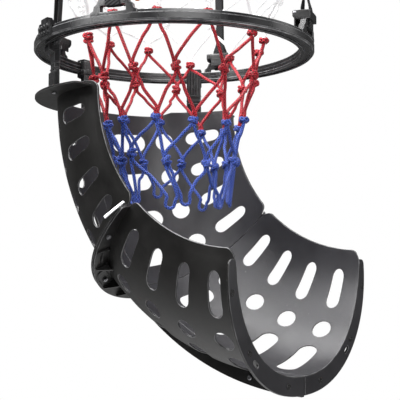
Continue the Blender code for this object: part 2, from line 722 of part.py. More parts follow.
def make_chute_half(name, side, start, shift, pivot):
    """One side of a module: a curved wall with a flange at each end and half of the keel.

    side is -1 or 1; shift moves it down the chute to leave room for the module above.
    """
    edge = ARC[-1][0]
    length = BEND_RADIUS * MODULE_ANGLE
    flange = END_FLANGE_THICKNESS
    stations = [(0.0, "flange"), (flange, "flange"), (flange, "wall")]
    stations += [(CORNER_RADIUS * share, "wall") for share in CORNER_SHARES]
    inner = length - 2 * CORNER_RADIUS
    stations += [(CORNER_RADIUS + inner * i / BEND_STEPS, "wall") for i in range(1, BEND_STEPS)]
    mirrored = [(length - d, kind) for d, kind in reversed(stations[:6])]
    stations += mirrored
    seam = GAP / 2
    columns = [(seam, "keel"), (KEEL_THICKNESS, "keel"), (KEEL_THICKNESS, "wall")]
    for i in range(1, SECTION_STEPS + 1):
        columns.append((KEEL_THICKNESS + (edge - KEEL_THICKNESS) * i / SECTION_STEPS, "wall"))
    bm = bmesh.new()
    loops = []
    for distance, kind in stations:
        bend = start + distance / BEND_RADIUS
        top = edge - corner_trim(min(distance, length - distance))
        inner_run, outer_run = [], []
        for arc, column in columns:
            place = side * place_at(arc * top / edge if arc > KEEL_THICKNESS else arc)
            reach = WALL
            if kind == "flange":
                at_ring = distance < length / 2 and not start
                widest = TOP_FLANGE_REACH if at_ring else END_FLANGE_REACH
                reach = widest * (1 - FLANGE_NARROWING * (arc / edge) ** 4)
            elif column == "keel":
                reach = KEEL_REACH
            inner_run.append(chute_point(bend, place, 0.0, shift))
            outer_run.append(chute_point(bend, place, reach, shift))
        for run in (inner_run, outer_run):
            run[0].x = run[1].x if run[0].x * side < seam else run[0].x
            run[0].x = side * seam
        loops.append(inner_run + outer_run[::-1])
    loft(bm, loops)
    thing = finish(name, bm, BLACK_PLASTIC, pivot, smooth=True)
    boolean(thing, make_hole_tool(f"{name}_holes", side, start, shift, pivot), "DIFFERENCE")
    return thing


def stadium(length, width, steps):
    """Outline of a slot with round ends, long way first."""
    radius = width / 2
    straight = (length - width) / 2
    points = []
    for end in (1, -1):
        for i in range(steps + 1):
            angle = -math.pi / 2 + math.pi * i / steps
            points.append((end * (straight + radius * math.cos(angle)), end * radius * math.sin(angle)))
    return points


def make_hole_tool(name, side, start, shift, pivot):
    """Cutters for the wall slots, the round holes and the floor slots of one half module."""
    wall_slot = stadium(WALL_SLOT_LENGTH, WALL_SLOT_WIDTH, SLOT_END_STEPS)
    round_hole = circle_outline((0.0, 0.0), ROUND_HOLE_RADIUS, ROUND_STEPS)
    rows = len(FLOOR_SLOT_LENGTHS)
    bm = bmesh.new()
    for row, floor_length in enumerate(FLOOR_SLOT_LENGTHS):
        middle = start + MODULE_ANGLE / 2 + (row - (rows - 1) / 2) * HOLE_PITCH
        floor_slot = stadium(floor_length, FLOOR_SLOT_WIDTH, SLOT_END_STEPS)
        shapes = ((WALL_SLOT_PLACE, wall_slot), (ROUND_HOLE_PLACE, round_hole))
        shapes += ((FLOOR_SLOT_EDGE - floor_length / 2, floor_slot),)
        for where, outline in shapes:
            loops = []
            for offset in (-HOLE_OVERRUN, WALL + HOLE_OVERRUN):
                loop = []
                for arc, along in outline:
                    place = side * place_at(where + arc)
                    bend = middle + along / (BEND_RADIUS - CHUTE_DEPTH / 4)
                    loop.append(chute_point(bend, place, offset, shift))
                loops.append(loop)
            loft(bm, loops)
    return finish(name, bm, parent=pivot)


def make_bolt(name, head, direction, grip, pivot):
    """Head, shank and nut in one piece. Gives the cutter for the clearance hole in the plates it clamps."""
    up = direction.to_track_quat("Z", "Y").to_matrix().to_4x4()
    place = Matrix.Translation(head) @ up
    profile = [
        (0.0, -BOLT_HEAD_HEIGHT - GAP),
        (BOLT_HEAD_RADIUS, -BOLT_HEAD_HEIGHT - GAP),
        (BOLT_HEAD_RADIUS, -GAP),
        (BOLT_RADIUS, -GAP),
        (BOLT_RADIUS, grip + GAP),
        (BOLT_HEAD_RADIUS, grip + GAP),
        (BOLT_HEAD_RADIUS, grip + GAP + BOLT_HEAD_HEIGHT),
        (0.0, grip + GAP + BOLT_HEAD_HEIGHT),
    ]
    turns = [math.tau * i / ROUND_STEPS for i in range(ROUND_STEPS)]
    bm = bmesh.new()
    rows = []
    for r, z in profile:
        around = [(r * math.cos(a), r * math.sin(a), z) for a in turns] if r else [(0.0, 0.0, z)]
        rows.append([bm.verts.new(point) for point in around])
    for near, far in zip(rows, rows[1:]):
        for i in range(ROUND_STEPS):
            j = (i + 1) % ROUND_STEPS
            corners = (near[i % len(near)], near[j % len(near)], far[j % len(far)], far[i % len(far)])
            bm.faces.new(list(dict.fromkeys(corners)))
    bmesh.ops.transform(bm, matrix=place, verts=bm.verts)
    finish(name, bm, ZINC, pivot, smooth=True)
    cut = bmesh.new()
    cut_start, cut_end = head - direction * BOLT_HOLE_OVERRUN, head + direction * (grip + BOLT_HOLE_OVERRUN)
    rod(cut, cut_start, cut_end, BOLT_RADIUS + GAP, ROUND_STEPS)
    return finish(f"{name}_hole", cut, parent=pivot)


def carriage_outline():
    """The carriage's side view, as (radius, height) points from the inner top corner round."""
    wall = RING_INNER_RADIUS - RUNNING_GAP
    back = wall - CARRIAGE_THICKNESS
    hook_top = RING_TOP + GLIDE_THICKNESS + 2 * GAP + CARRIAGE_HOOK_THICKNESS
    hook_low = RING_TOP - CARRIAGE_HOOK_DEPTH
    tip_in = TOP_GROOVE_INNER + RUNNING_GAP
    tip_out = tip_in + CARRIAGE_HOOK_REACH
    seat = RING_TOP + GLIDE_THICKNESS + 2 * GAP
    jaw_top = RING_BOTTOM - RUNNING_GAP
    jaw_low = jaw_top - CARRIAGE_JAW_HEIGHT
    foot = CHUTE_TOP + GAP
    foot_top = foot + CARRIAGE_FOOT_HEIGHT
    foot_out = back + CARRIAGE_FOOT_THICKNESS
    return [
        (back, foot),
        (foot_out, foot),
        (foot_out, foot_top - CARRIAGE_FOOT_CHAMFER),
        (wall, foot_top),
        (wall, jaw_low - CARRIAGE_JAW_FILLET),
        (wall + CARRIAGE_JAW_FILLET, jaw_low),
        (back + CARRIAGE_JAW_REACH, jaw_low),
        (back + CARRIAGE_JAW_REACH, jaw_top),
        (wall, jaw_top),
        (wall, seat),
        (tip_in, seat),
        (tip_in, hook_low),
        (tip_out, hook_low),
        (tip_out, hook_top - CARRIAGE_HOOK_CHAMFER),
        (tip_out - CARRIAGE_HOOK_CHAMFER, hook_top),
        (back, hook_top),
    ]


def make_carriage(name, turn, pivot):
    """Hanger that hooks over the ring's inner wall and stands on the chute's top flange."""
    carrier = empty(f"{name}_place", (0.0, 0.0, 0.0), math.pi / 2 + turn, pivot)
    half = CARRIAGE_WIDTH / 2
    bm = bmesh.new()
    loft(bm, [[(r, y, z) for r, z in carriage_outline()] for y in (-half, half)])
    thing = finish(name, bm, BLACK_PLASTIC, carrier)
    pad = bmesh.new()
    span = GLIDE_SHARE * half / RING_INNER_RADIUS
    low = RING_TOP + GAP
    high = low + GLIDE_THICKNESS
    profile = [(RING_INNER_RADIUS, low), (TOP_GROOVE_INNER, low)]
    profile += [(TOP_GROOVE_INNER, high), (RING_INNER_RADIUS, high)]
    turned(pad, profile, 4, -span, 2 * span)
    finish(name.replace("carriage", "glide_pad"), pad, ACETAL, carrier)
    return thing, carrier


def make_chute():
    pivot = empty("chute_pivot", HOOP_AXIS, CHUTE_TURN)
    halves = {}
    modules = (("upper", 0.0, 0.0), ("lower", MODULE_ANGLE, MODULE_GAP))
    for module, start, shift in modules:
        for side_name, side in (("left", -1), ("right", 1)):
            name = f"{module}_chute_{side_name}"
            halves[name] = make_chute_half(name, side, start, shift, pivot)

    # Bolts through the two flanges where the modules meet
    flange_middle = WALL + (END_FLANGE_REACH - WALL) * JOINT_BOLT_SHARE
    for number, arc in enumerate(JOINT_BOLT_PLACES, 1):
        side_name = "left" if arc < 0 else "right"
        place = place_at(arc)
        head = chute_point(MODULE_ANGLE, place, flange_middle, -END_FLANGE_THICKNESS)
        direction = Vector((0.0, -math.sin(MODULE_ANGLE), -math.cos(MODULE_ANGLE)))
        grip = 2 * END_FLANGE_THICKNESS + MODULE_GAP
        hole = make_bolt(f"joint_bolt_{number}", head, direction, grip, pivot)
        boolean(halves[f"upper_chute_{side_name}"], hole, "DIFFERENCE")
        boolean(halves[f"lower_chute_{side_name}"], hole, "DIFFERENCE")

    # Bolts across each keel
    number = 0
    for module, start, shift in modules:
        for angle in KEEL_BOLT_ANGLES:
            number += 1
            centre = chute_point(start + angle, 0.0, KEEL_REACH * KEEL_BOLT_SHARE, shift)
            head = Vector((-KEEL_THICKNESS, centre.y, centre.z))
            across = Vector((1.0, 0.0, 0.0))
            hole = make_bolt(f"keel_bolt_{number}", head, across, 2 * KEEL_THICKNESS, pivot)
            boolean(halves[f"{module}_chute_left"], hole, "DIFFERENCE")
            boolean(halves[f"{module}_chute_right"], hole, "DIFFERENCE")

    # Carriages with a bolt each, up through the flange
    foot_middle = RING_INNER_RADIUS - RUNNING_GAP - CARRIAGE_THICKNESS + CARRIAGE_FOOT_THICKNESS / 2
    low, high = CHUTE_TOP - END_FLANGE_THICKNESS - GAP, CHUTE_TOP + SCREW_LENGTH
    for name, turn in (("left", CARRIAGE_SPREAD), ("middle", 0.0), ("right", -CARRIAGE_SPREAD)):
        carriage, carrier = make_carriage(f"carriage_{name}", turn, pivot)
        offset = KEEL_THICKNESS + BOLT_HEAD_RADIUS + RUNNING_GAP
        sides = (-offset, offset) if name == "middle" else (0.0,)
        for number, y in enumerate(sides, 1):
            def at(z):
                return foot_middle, y, z

            screw_name = f"carriage_screw_{name}" + (f"_{number}" if len(sides) > 1 else "")
            screw = bmesh.new()
            rod(screw, at(low), at(high), BOLT_RADIUS, ROUND_STEPS)
            thing = finish(screw_name, screw, ZINC, carrier, smooth=True)
            head = bmesh.new()
            rod(head, at(low - BOLT_HEAD_HEIGHT), at(low), BOLT_HEAD_RADIUS, ROUND_STEPS)
            boolean(thing, finish(f"{screw_name}_head", head, parent=carrier), "UNION")
            cut = bmesh.new()
            rod(cut, at(low - MERGE_SINK), at(high + GAP), BOLT_RADIUS + GAP, ROUND_STEPS)
            hole = finish(f"{screw_name}_hole", cut, parent=carrier)
            for holed in (carriage, halves["upper_chute_left"], halves["upper_chute_right"]):
                boolean(holed, hole, "DIFFERENCE")


clear_scene()
make_back_plate()
make_rim_bracket()
make_rim()
make_brace("rim_brace_left", -1)
make_brace("rim_brace_right", 1)
make_nets()
make_ring_half("ring_half_front", RING_SEAM_TURN)
make_ring_half("ring_half_rear", RING_SEAM_TURN + math.pi)
make_spigot()
make_clasp()
for lug in range(LUG_COUNT):
    lug_pivot = empty(f"lug_{lug + 1}", HOOP_AXIS, LUG_TURN + math.tau * lug / LUG_COUNT)
    make_strap(lug + 1, lug_pivot)
    make_buckle(lug + 1, lug_pivot)
make_chute()
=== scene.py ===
"""Basketball hoop with a ball-return chute: the finish of every piece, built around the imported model."""

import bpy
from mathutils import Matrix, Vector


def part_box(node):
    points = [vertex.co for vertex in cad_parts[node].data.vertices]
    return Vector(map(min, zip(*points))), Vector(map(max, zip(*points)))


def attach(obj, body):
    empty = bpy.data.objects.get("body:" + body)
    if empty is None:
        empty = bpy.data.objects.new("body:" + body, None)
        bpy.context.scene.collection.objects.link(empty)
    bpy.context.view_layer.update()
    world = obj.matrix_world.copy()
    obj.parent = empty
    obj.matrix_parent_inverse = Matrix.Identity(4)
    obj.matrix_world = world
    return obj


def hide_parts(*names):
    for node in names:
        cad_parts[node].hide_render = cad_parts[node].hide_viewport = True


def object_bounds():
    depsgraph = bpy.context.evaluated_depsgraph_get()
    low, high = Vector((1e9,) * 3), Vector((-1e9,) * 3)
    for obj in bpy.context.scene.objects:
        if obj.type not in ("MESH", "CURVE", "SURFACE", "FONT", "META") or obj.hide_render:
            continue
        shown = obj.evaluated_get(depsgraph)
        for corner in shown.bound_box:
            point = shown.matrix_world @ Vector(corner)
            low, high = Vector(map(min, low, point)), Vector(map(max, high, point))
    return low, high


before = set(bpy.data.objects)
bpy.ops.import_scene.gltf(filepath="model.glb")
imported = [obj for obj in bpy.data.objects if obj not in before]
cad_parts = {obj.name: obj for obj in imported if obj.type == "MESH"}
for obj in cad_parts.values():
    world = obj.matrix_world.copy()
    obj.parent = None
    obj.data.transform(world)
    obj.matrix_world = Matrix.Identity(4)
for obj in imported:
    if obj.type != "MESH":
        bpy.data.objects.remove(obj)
cad_bounds = [list(corner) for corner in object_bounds()]

import math
import random

import bmesh
import bpy
import numpy as np
from mathutils import Matrix, Vector
from mathutils.geometry import delaunay_2d_cdt

# ---------------------------------------------------------------------------------------------
# The studio: a camera below the ring looking slightly up, a pale floor far under the hoop, soft
# boxes round it, and a surround that is white to camera and transmission rays and dim to the rest.
# ---------------------------------------------------------------------------------------------
ring_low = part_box("ring_half_front")[0].z
rim_low, rim_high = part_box("rim")
hoop_axis = Vector(((rim_low.x + rim_high.x) / 2, (rim_low.y + rim_high.y) / 2, 0.0))


def new_object(name, data):
    """An object in the scene that shows some data."""
    thing = bpy.data.objects.new(name, data)
    bpy.context.scene.collection.objects.link(thing)
    return thing


def new_material(name):
    """A material, its node tree and its shader."""
    made = bpy.data.materials.new(name)
    made.use_nodes = True
    return made, made.node_tree, made.node_tree.nodes["Principled BSDF"]


def set_inputs(node, values):
    for label, value in values.items():
        node.inputs[label].default_value = value


camera_data = bpy.data.cameras.new("camera")
camera_data.lens = 79.73
camera_data.sensor_width = 36.0
camera = new_object("camera", camera_data)
camera.location = hoop_axis + Vector((-0.610, -1.455, ring_low - 0.3664))
camera.rotation_euler = (math.radians(93.9), 0.0, math.radians(-24.4))
bpy.context.scene.camera = camera

surround_dim, surround_white = 0.09, 1.0
world = bpy.data.worlds.new("surround")
bpy.context.scene.world = world
world.use_nodes = True
tree = world.node_tree
tree.nodes.clear()
rays = tree.nodes.new("ShaderNodeLightPath")
seen = tree.nodes.new("ShaderNodeMath")
seen.operation = "MAXIMUM"
tree.links.new(rays.outputs["Is Camera Ray"], seen.inputs[0])
tree.links.new(rays.outputs["Is Transmission Ray"], seen.inputs[1])
strength = tree.nodes.new("ShaderNodeMapRange")
set_inputs(strength, {"To Min": surround_dim, "To Max": surround_white})
sky = tree.nodes.new("ShaderNodeBackground")
sky.inputs["Color"].default_value = (1.0, 1.0, 1.0, 1.0)
tree.links.new(seen.outputs["Value"], strength.inputs["Value"])
tree.links.new(strength.outputs["Result"], sky.inputs["Strength"])
out = tree.nodes.new("ShaderNodeOutputWorld")
tree.links.new(sky.outputs["Background"], out.inputs["Surface"])

floor_drop = 1.6
floor_half = 6.0
bm = bmesh.new()
bmesh.ops.create_grid(bm, x_segments=1, y_segments=1, size=floor_half)
bmesh.ops.translate(bm, verts=bm.verts, vec=(0.0, 0.0, cad_bounds[0][2] - floor_drop))
floor_mesh = bpy.data.meshes.new("floor")
bm.to_mesh(floor_mesh)
bm.free()
floor = new_object("floor", floor_mesh)
floor_lift = 0.62
floor_paint, tree, shader = new_material("floor_paint")
set_inputs(shader, {"Base Color": (0.85, 0.85, 0.85, 1.0), "Roughness": 0.9,
                    "Emission Color": (1.0, 1.0, 1.0, 1.0)})
lift = tree.nodes.new("ShaderNodeMath")
lift.operation = "MULTIPLY"
lift.inputs[1].default_value = floor_lift
rays = tree.nodes.new("ShaderNodeLightPath")
tree.links.new(rays.outputs["Is Camera Ray"], lift.inputs[0])
tree.links.new(lift.outputs["Value"], shader.inputs["Emission Strength"])
floor_mesh.materials.append(floor_paint)


def soft_box(name, place, target, size, power):
    light = bpy.data.lights.new(name, "AREA")
    light.shape = "RECTANGLE"
    light.size, light.size_y = size
    light.energy = power
    lamp = new_object(name, light)
    lamp.location = place
    lamp.rotation_euler = (Vector(target) - Vector(place)).to_track_quat("-Z", "Y").to_euler()


middle = Vector((0.05, -0.42, -0.60))


def studio_place(azimuth, elevation, distance):
    """A place seen from the middle of the piece at an azimuth and an elevation."""
    azimuth, elevation = math.radians(azimuth), math.radians(elevation)
    flat = math.cos(elevation)
    return middle + distance * Vector((flat * math.cos(azimuth), flat * math.sin(azimuth),
                                       math.sin(elevation)))


soft_box("left_high", studio_place(-172, 45, 2.3), middle, (1.3, 1.9), 92.0)
soft_box("overhead", studio_place(105, 78, 2.2), middle, (1.5, 1.5), 90.0)
soft_box("front", studio_place(-104, 32, 2.4), middle, (1.2, 0.8), 30.0)
soft_box("right", studio_place(-20, 20, 2.4), middle, (0.9, 1.4), 8.0)
soft_box("mouth", studio_place(-62, -4, 2.3), middle, (0.8, 0.8), 16.0)

bpy.context.scene.view_settings.view_transform = "Standard"

# ---------------------------------------------------------------------------------------------
# Back plate: 6 mm steel with rounded corners and four bolt holes, powder coated orange. It is cut
# flat, so it is made here as a pierced sheet with softened edges.
# ---------------------------------------------------------------------------------------------


def inside_loop(points, loop):
    """Which of many pattern points lie inside a closed loop."""
    points, loop = np.asarray(points), np.asarray(loop)
    found = np.zeros(len(points), bool)
    for (ax, ay), (bx, by) in zip(loop, np.roll(loop, -1, axis=0)):
        crosses = (ay > points[:, 1]) != (by > points[:, 1])
        if ay != by:
            found ^= crosses & (points[:, 0] < (bx - ax) * (points[:, 1] - ay) / (by - ay) + ax)
    return found


def arc_points(centre, radius, start, sweep, steps, into=1):
    """Edge points on an arc, with the way into the material: outwards from a hole, inwards at a corner."""
    made = []
    for i in range(steps + 1):
        angle = math.radians(start + sweep * i / steps)
        out_way = Vector((math.cos(angle), math.sin(angle)))
        made.append((Vector(centre) + out_way * radius, out_way * into))
    return made


def straight_points(start, end, into, spacing):
    """Edge points between two ends, without the ends."""
    start, end = Vector(start), Vector(end)
    count = max(1, round((end - start).length / spacing))
    return [(start.lerp(end, i / count), Vector(into)) for i in range(1, count)]


def stadium_hole(centre, length, width, turn=0.0, steps=10, spacing=0.004):
    """Edge points of a slot with round ends, with the way into the material round it."""
    half = (length - width) / 2
    loop = arc_points((half, 0.0), width / 2, -90, 180, steps)
    loop += straight_points((half, width / 2), (-half, width / 2), (0, 1), spacing)
    loop += arc_points((-half, 0.0), width / 2, 90, 180, steps)
    loop += straight_points((-half, -width / 2), (half, -width / 2), (0, -1), spacing)
    if not half:
        loop = arc_points((0.0, 0.0), width / 2, 0, 360 - 360 / (2 * steps), 2 * steps - 1)
    swing = Matrix.Rotation(turn, 2)
    return [(Vector(centre) + swing @ point, swing @ into) for point, into in loop]


def pierced_sheet(bm, outline, holes, to_space, thickness, soften, spacing, front=0.0):
    """Adds a pierced sheet from its flat pattern: two skins and a softened edge round each loop.

    Loops are (point, way into the material) pairs; to_space turns a pattern point and a depth into a place.
    The skin at depth 0 is marked with the front value, the share of painted reflection it shows.
    """
    edge_mask = bm.verts.layers.float.get("edge") or bm.verts.layers.float.new("edge")
    painted_reflection_mask = bm.verts.layers.float.get("front") or bm.verts.layers.float.new("front")
    turns = [math.radians(a) for a in (0, 30, 60, 90)]
    profile = [(soften * (1 - math.sin(a)), soften * (1 - math.cos(a))) for a in turns]
    profile += [(d, thickness - h) for d, h in reversed(profile)]
    loops = [outline, *holes]
    flat, segments, rims = [], [], []
    for loop in loops:
        first = len(flat)
        count = len(loop)
        flat += [point + into * soften for point, into in loop]
        segments += [(first + i, first + (i + 1) % count) for i in range(count)]
        rows = []
        for k, (inset, depth) in enumerate(profile):
            row = [bm.verts.new(to_space(point + into * inset, depth)) for point, into in loop]
            for vert in row:
                # Softened rows are marked as edge: edge wear and a painted highlight
                vert[edge_mask] = 1.0 if k in (1, 2, 5, 6) else 0.0
                vert[painted_reflection_mask] = 0.0 if k else front
            rows.append(row)
        rims.append(rows)
        for near, far in zip(rows, rows[1:]):
            for i in range(count):
                j = (i + 1) % count
                bm.faces.new((near[i], near[j], far[j], far[i]))
    inset_loops, at = [], 0
    for loop in loops:
        inset_loops.append([tuple(p) for p in flat[at:at + len(loop)]])
        at += len(loop)
    border = np.array([tuple(p) for p in flat])
    low, high = border.min(0), border.max(0)
    columns = max(2, round((high[0] - low[0]) / spacing))
    rows_count = max(2, round((high[1] - low[1]) / spacing))
    inner = []
    for i in range(1, columns):
        for j in range(1, rows_count):
            shift = 0.5 * (i % 2)
            inner.append((low[0] + (high[0] - low[0]) * i / columns,
                          low[1] + (high[1] - low[1]) * min(j + shift, rows_count - 0.4) / rows_count))
    inner = np.array(inner)
    keep = inside_loop(inner, inset_loops[0])
    for loop in inset_loops[1:]:
        keep &= ~inside_loop(inner, loop)
    gaps = np.sqrt(((inner[:, None, :] - border[None, :, :]) ** 2).sum(2)).min(1)
    inner = inner[keep & (gaps > 0.45 * spacing)]
    points = flat + [Vector(p) for p in inner]
    result = delaunay_2d_cdt(points, segments, [], 0, 1e-7)
    made_points, faces, sources = result[0], result[2], result[3]
    centres = np.array([np.mean([made_points[i] for i in face], axis=0) for face in faces])
    keep = inside_loop(centres, inset_loops[0])
    for loop in inset_loops[1:]:
        keep &= ~inside_loop(centres, loop)
    for rim_row, depth, flip in ((0, 0.0, False), (-1, thickness, True)):
        rim_verts = [vert for rows in rims for vert in rows[rim_row]]
        fresh = [bm.verts.new(to_space(Vector(p), depth)) for p in inner]
        for vert in fresh:
            vert[painted_reflection_mask] = 0.0 if flip else front
        verts = rim_verts + fresh
        for face, wanted in zip(faces, keep):
            if wanted:
                corners = [verts[sources[i][0]] for i in face]
                bm.faces.new(corners[::-1] if flip else corners)


def rounded_polygon(corners, radii, spacing, steps=6):
    """Edge points of a counter-clockwise polygon with rounded corners, with the way into it."""
    arcs = []
    count = len(corners)
    for i, radius in enumerate(radii):
        before, here, after = (Vector(corners[(i + k) % count]) for k in (-1, 0, 1))
        arrive, leave = (here - before).normalized(), (after - here).normalized()
        turn = math.atan2(arrive.x * leave.y - arrive.y * leave.x, arrive.dot(leave))
        way = Vector((-arrive.y, arrive.x))
        if not radius:
            other = Vector((-leave.y, leave.x))
            arcs.append([(here, (way + other) / (1 + way.dot(other)))])
            continue
        start = here - arrive * radius * math.tan(abs(turn) / 2)
        centre = start + way * math.copysign(radius, turn)
        arc = []
        for k in range(steps + 1):
            into = Matrix.Rotation(turn * k / steps, 2) @ way
            arc.append((centre - into * math.copysign(radius, turn), into))
        arcs.append(arc)
    made = []
    for arc, following in zip(arcs, arcs[1:] + arcs[:1]):
        made += arc
        along = following[0][0] - arc[-1][0]
        made += straight_points(arc[-1][0], following[0][0], Vector((-along.y, along.x)).normalized(),
                                spacing)
    return made


def finish_piece(name, bm, body, material, replaced=(), sharp=40):
    """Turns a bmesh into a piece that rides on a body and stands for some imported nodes."""
    bmesh.ops.remove_doubles(bm, verts=bm.verts, dist=1e-6)
    bmesh.ops.recalc_face_normals(bm, faces=bm.faces)
    mesh = bpy.data.meshes.new(name)
    bm.to_mesh(mesh)
    bm.free()
    mesh.materials.append(material)
    mesh.shade_smooth()
    mesh.set_sharp_from_angle(angle=math.radians(sharp))
    piece = new_object(name, mesh)
    # Normals weighted by face area keep the broad faces flat and the softened edges crisp
    change = piece.modifiers.new("weighted_normals", "WEIGHTED_NORMAL")
    change.keep_sharp = True
    bpy.context.view_layer.update()
    deps = bpy.context.evaluated_depsgraph_get()
    piece.data = bpy.data.meshes.new_from_object(piece.evaluated_get(deps), depsgraph=deps)
    piece.modifiers.clear()
    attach(piece, body)
    if replaced:
        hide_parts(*replaced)
    return piece


def new_group(name, inputs, outputs):
    """An empty shader group with named float inputs and named outputs."""
    group = bpy.data.node_groups.new(name, "ShaderNodeTree")
    for label, value in inputs:
        group.interface.new_socket(label, in_out="INPUT", socket_type="NodeSocketFloat").default_value = value
    for label, kind in outputs:
        group.interface.new_socket(label, in_out="OUTPUT", socket_type=kind)
    start = group.nodes.new("NodeGroupInput")
    end = group.nodes.new("NodeGroupOutput")
    return group, start, end


def maths(tree, operation, first, second=None, third=None):
    """A math node fed by sockets or numbers; gives its output socket."""
    node = tree.nodes.new("ShaderNodeMath")
    node.operation = operation
    for socket, value in zip(node.inputs, (first, second, third)):
        if isinstance(value, bpy.types.NodeSocket):
            tree.links.new(value, socket)
        elif value is not None:
            socket.default_value = value
    return node.outputs[0]


def ramp(tree, value, low, high, to_low=0.0, to_high=1.0):
    """Spreads low..high of a value over to_low..to_high."""
    node = tree.nodes.new("ShaderNodeMapRange")
    tree.links.new(value, node.inputs["Value"])
    for label, number in (("From Min", low), ("From Max", high), ("To Min", to_low), ("To Max", to_high)):
        node.inputs[label].default_value = number
    return node.outputs["Result"]


def noise_of(tree, place, scale, detail=3.0, roughness=0.5):
    node = tree.nodes.new("ShaderNodeTexNoise")
    node.inputs["Detail"].default_value = detail
    node.inputs["Roughness"].default_value = roughness
    if isinstance(scale, bpy.types.NodeSocket):
        tree.links.new(scale, node.inputs["Scale"])
    else:
        node.inputs["Scale"].default_value = scale
    tree.links.new(place, node.inputs["Vector"])
    return node.outputs["Fac"]


def attribute_of(tree, name, output="Fac"):
    """What a named attribute of the mesh says."""
    node = tree.nodes.new("ShaderNodeAttribute")
    node.attribute_name = name
    return node.outputs[output]


def colour_mix(tree, low, high, factor):
    """Mixes two colours, each a socket or a colour, by a socket's value; gives the mixed colour."""
    node = tree.nodes.new("ShaderNodeMix")
    node.data_type = "RGBA"
    for socket, colour in ((node.inputs[6], low), (node.inputs[7], high)):
        if isinstance(colour, bpy.types.NodeSocket):
            tree.links.new(colour, socket)
        else:
            socket.default_value = (*colour, 1.0)
    tree.links.new(factor, node.inputs["Factor"])
    return node.outputs[2]


def relief(tree, height, distance, target):
    """Feeds a normal socket with a bump; gives the bump's own normal input, for a slower one under it."""
    bump = tree.nodes.new("ShaderNodeBump")
    bump.inputs["Distance"].default_value = distance
    tree.links.new(height, bump.inputs["Height"])
    tree.links.new(bump.outputs["Normal"], target)
    return bump.inputs["Normal"]


# Mottling, grain, fine scuffs, and edge wear that is also a painted highlight, shared by every hard finish
surface_group, start, end = new_group(
    "hard_surface",
    (("Mottle Scale", 14.0), ("Grain Scale", 900.0), ("Scuffs", 0.5)),
    (("Mottle", "NodeSocketFloat"), ("Grain", "NodeSocketFloat"), ("Scuff", "NodeSocketFloat"),
     ("Edge", "NodeSocketFloat")),
)
place = surface_group.nodes.new("ShaderNodeTexCoord").outputs["Object"]
mottle = noise_of(surface_group, place, start.outputs["Mottle Scale"], 5.0, 0.6)
grain = noise_of(surface_group, place, start.outputs["Grain Scale"], 2.0)
stretch = surface_group.nodes.new("ShaderNodeMapping")
stretch.inputs["Scale"].default_value = (1.0, 1.0, 0.12)
stretch.inputs["Rotation"].default_value = (0.5, 0.9, 0.2)
surface_group.links.new(place, stretch.inputs["Vector"])
scratches = noise_of(surface_group, stretch.outputs["Vector"], 260.0, 4.0, 0.7)
scratches = ramp(surface_group, scratches, 0.66, 0.78)
patches = ramp(surface_group, noise_of(surface_group, place, 11.0, 3.0), 0.45, 0.65)
scuff = maths(surface_group, "MULTIPLY", scratches, patches)
scuff = maths(surface_group, "MULTIPLY", scuff, start.outputs["Scuffs"])
wear_and_highlight_patches = noise_of(surface_group, place, 60.0, 4.0)
# Edges lightened in patches: partly wear, partly a painted highlight
edge = maths(surface_group, "MULTIPLY", attribute_of(surface_group, "edge"),
             ramp(surface_group, wear_and_highlight_patches, 0.25, 0.75))
for label, value in (("Mottle", mottle), ("Grain", grain), ("Scuff", scuff), ("Edge", edge)):
    surface_group.links.new(value, end.inputs[label])


def hard_finish(name, dark, light, worn_and_highlight_colour, rough, metallic=0.0, mottle_scale=14.0, grain_scale=900.0,
                grain_depth=0.00002, scuffs=0.5, coat=0.0, painted_reflection_colour=None, wave=0.0):
    """A painted, moulded or plated finish: mottled colour, grain, scuffs, and edges lightened as wear and as
    a painted highlight.

    A painted reflection colour lightens the skin marked as the front in mottled patches; wave is the height
    of slow waviness.
    """
    made, tree, shader = new_material(name)
    surface = tree.nodes.new("ShaderNodeGroup")
    surface.node_tree = surface_group
    set_inputs(surface, {"Mottle Scale": mottle_scale, "Grain Scale": grain_scale, "Scuffs": scuffs})
    mottle, scuff = surface.outputs["Mottle"], surface.outputs["Scuff"]
    body = colour_mix(tree, dark, light, ramp(tree, mottle, 0.32, 0.68))
    # Painted reflection: the skin marked as the front is lightened towards a grey in mottled patches
    if painted_reflection_colour:
        share = maths(tree, "MULTIPLY", attribute_of(tree, "front"), ramp(tree, mottle, 0.3, 0.7, 0.6))
        body = colour_mix(tree, body, painted_reflection_colour, share)
    marks = maths(tree, "MAXIMUM", scuff, surface.outputs["Edge"])
    # Scuffs and edges take the lighter colour; on edges it is also a painted highlight
    tree.links.new(colour_mix(tree, body, worn_and_highlight_colour, marks), shader.inputs["Base Color"])
    mixed = maths(tree, "ADD", mottle, maths(tree, "MULTIPLY", scuff, 0.6))
    tree.links.new(ramp(tree, mixed, 0.3, 0.9, rough[0], rough[1]), shader.inputs["Roughness"])
    shader.inputs["Metallic"].default_value = metallic
    if coat:
        set_inputs(shader, {"Coat Weight": coat, "Coat Roughness": 0.12})
    under = relief(tree, surface.outputs["Grain"], grain_depth, shader.inputs["Normal"])
    if wave:
        relief(tree, mottle, wave, under)
    return made


orange_coat = hard_finish("orange_powder_coat", (0.62, 0.095, 0.012), (0.72, 0.13, 0.018), (0.85, 0.32, 0.12),
                          (0.28, 0.42), mottle_scale=9.0, grain_scale=420.0, grain_depth=0.00012, scuffs=0.15,
                          coat=0.25)

plate_low, plate_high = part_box("back_plate")
plate_thickness = plate_high.y - plate_low.y
plate_corner = 0.008
plate_hole_width = 0.011
plate_hole_inset = 0.022


def on_plate(point, depth):
    return Vector((point.x, plate_high.y - depth, point.y))


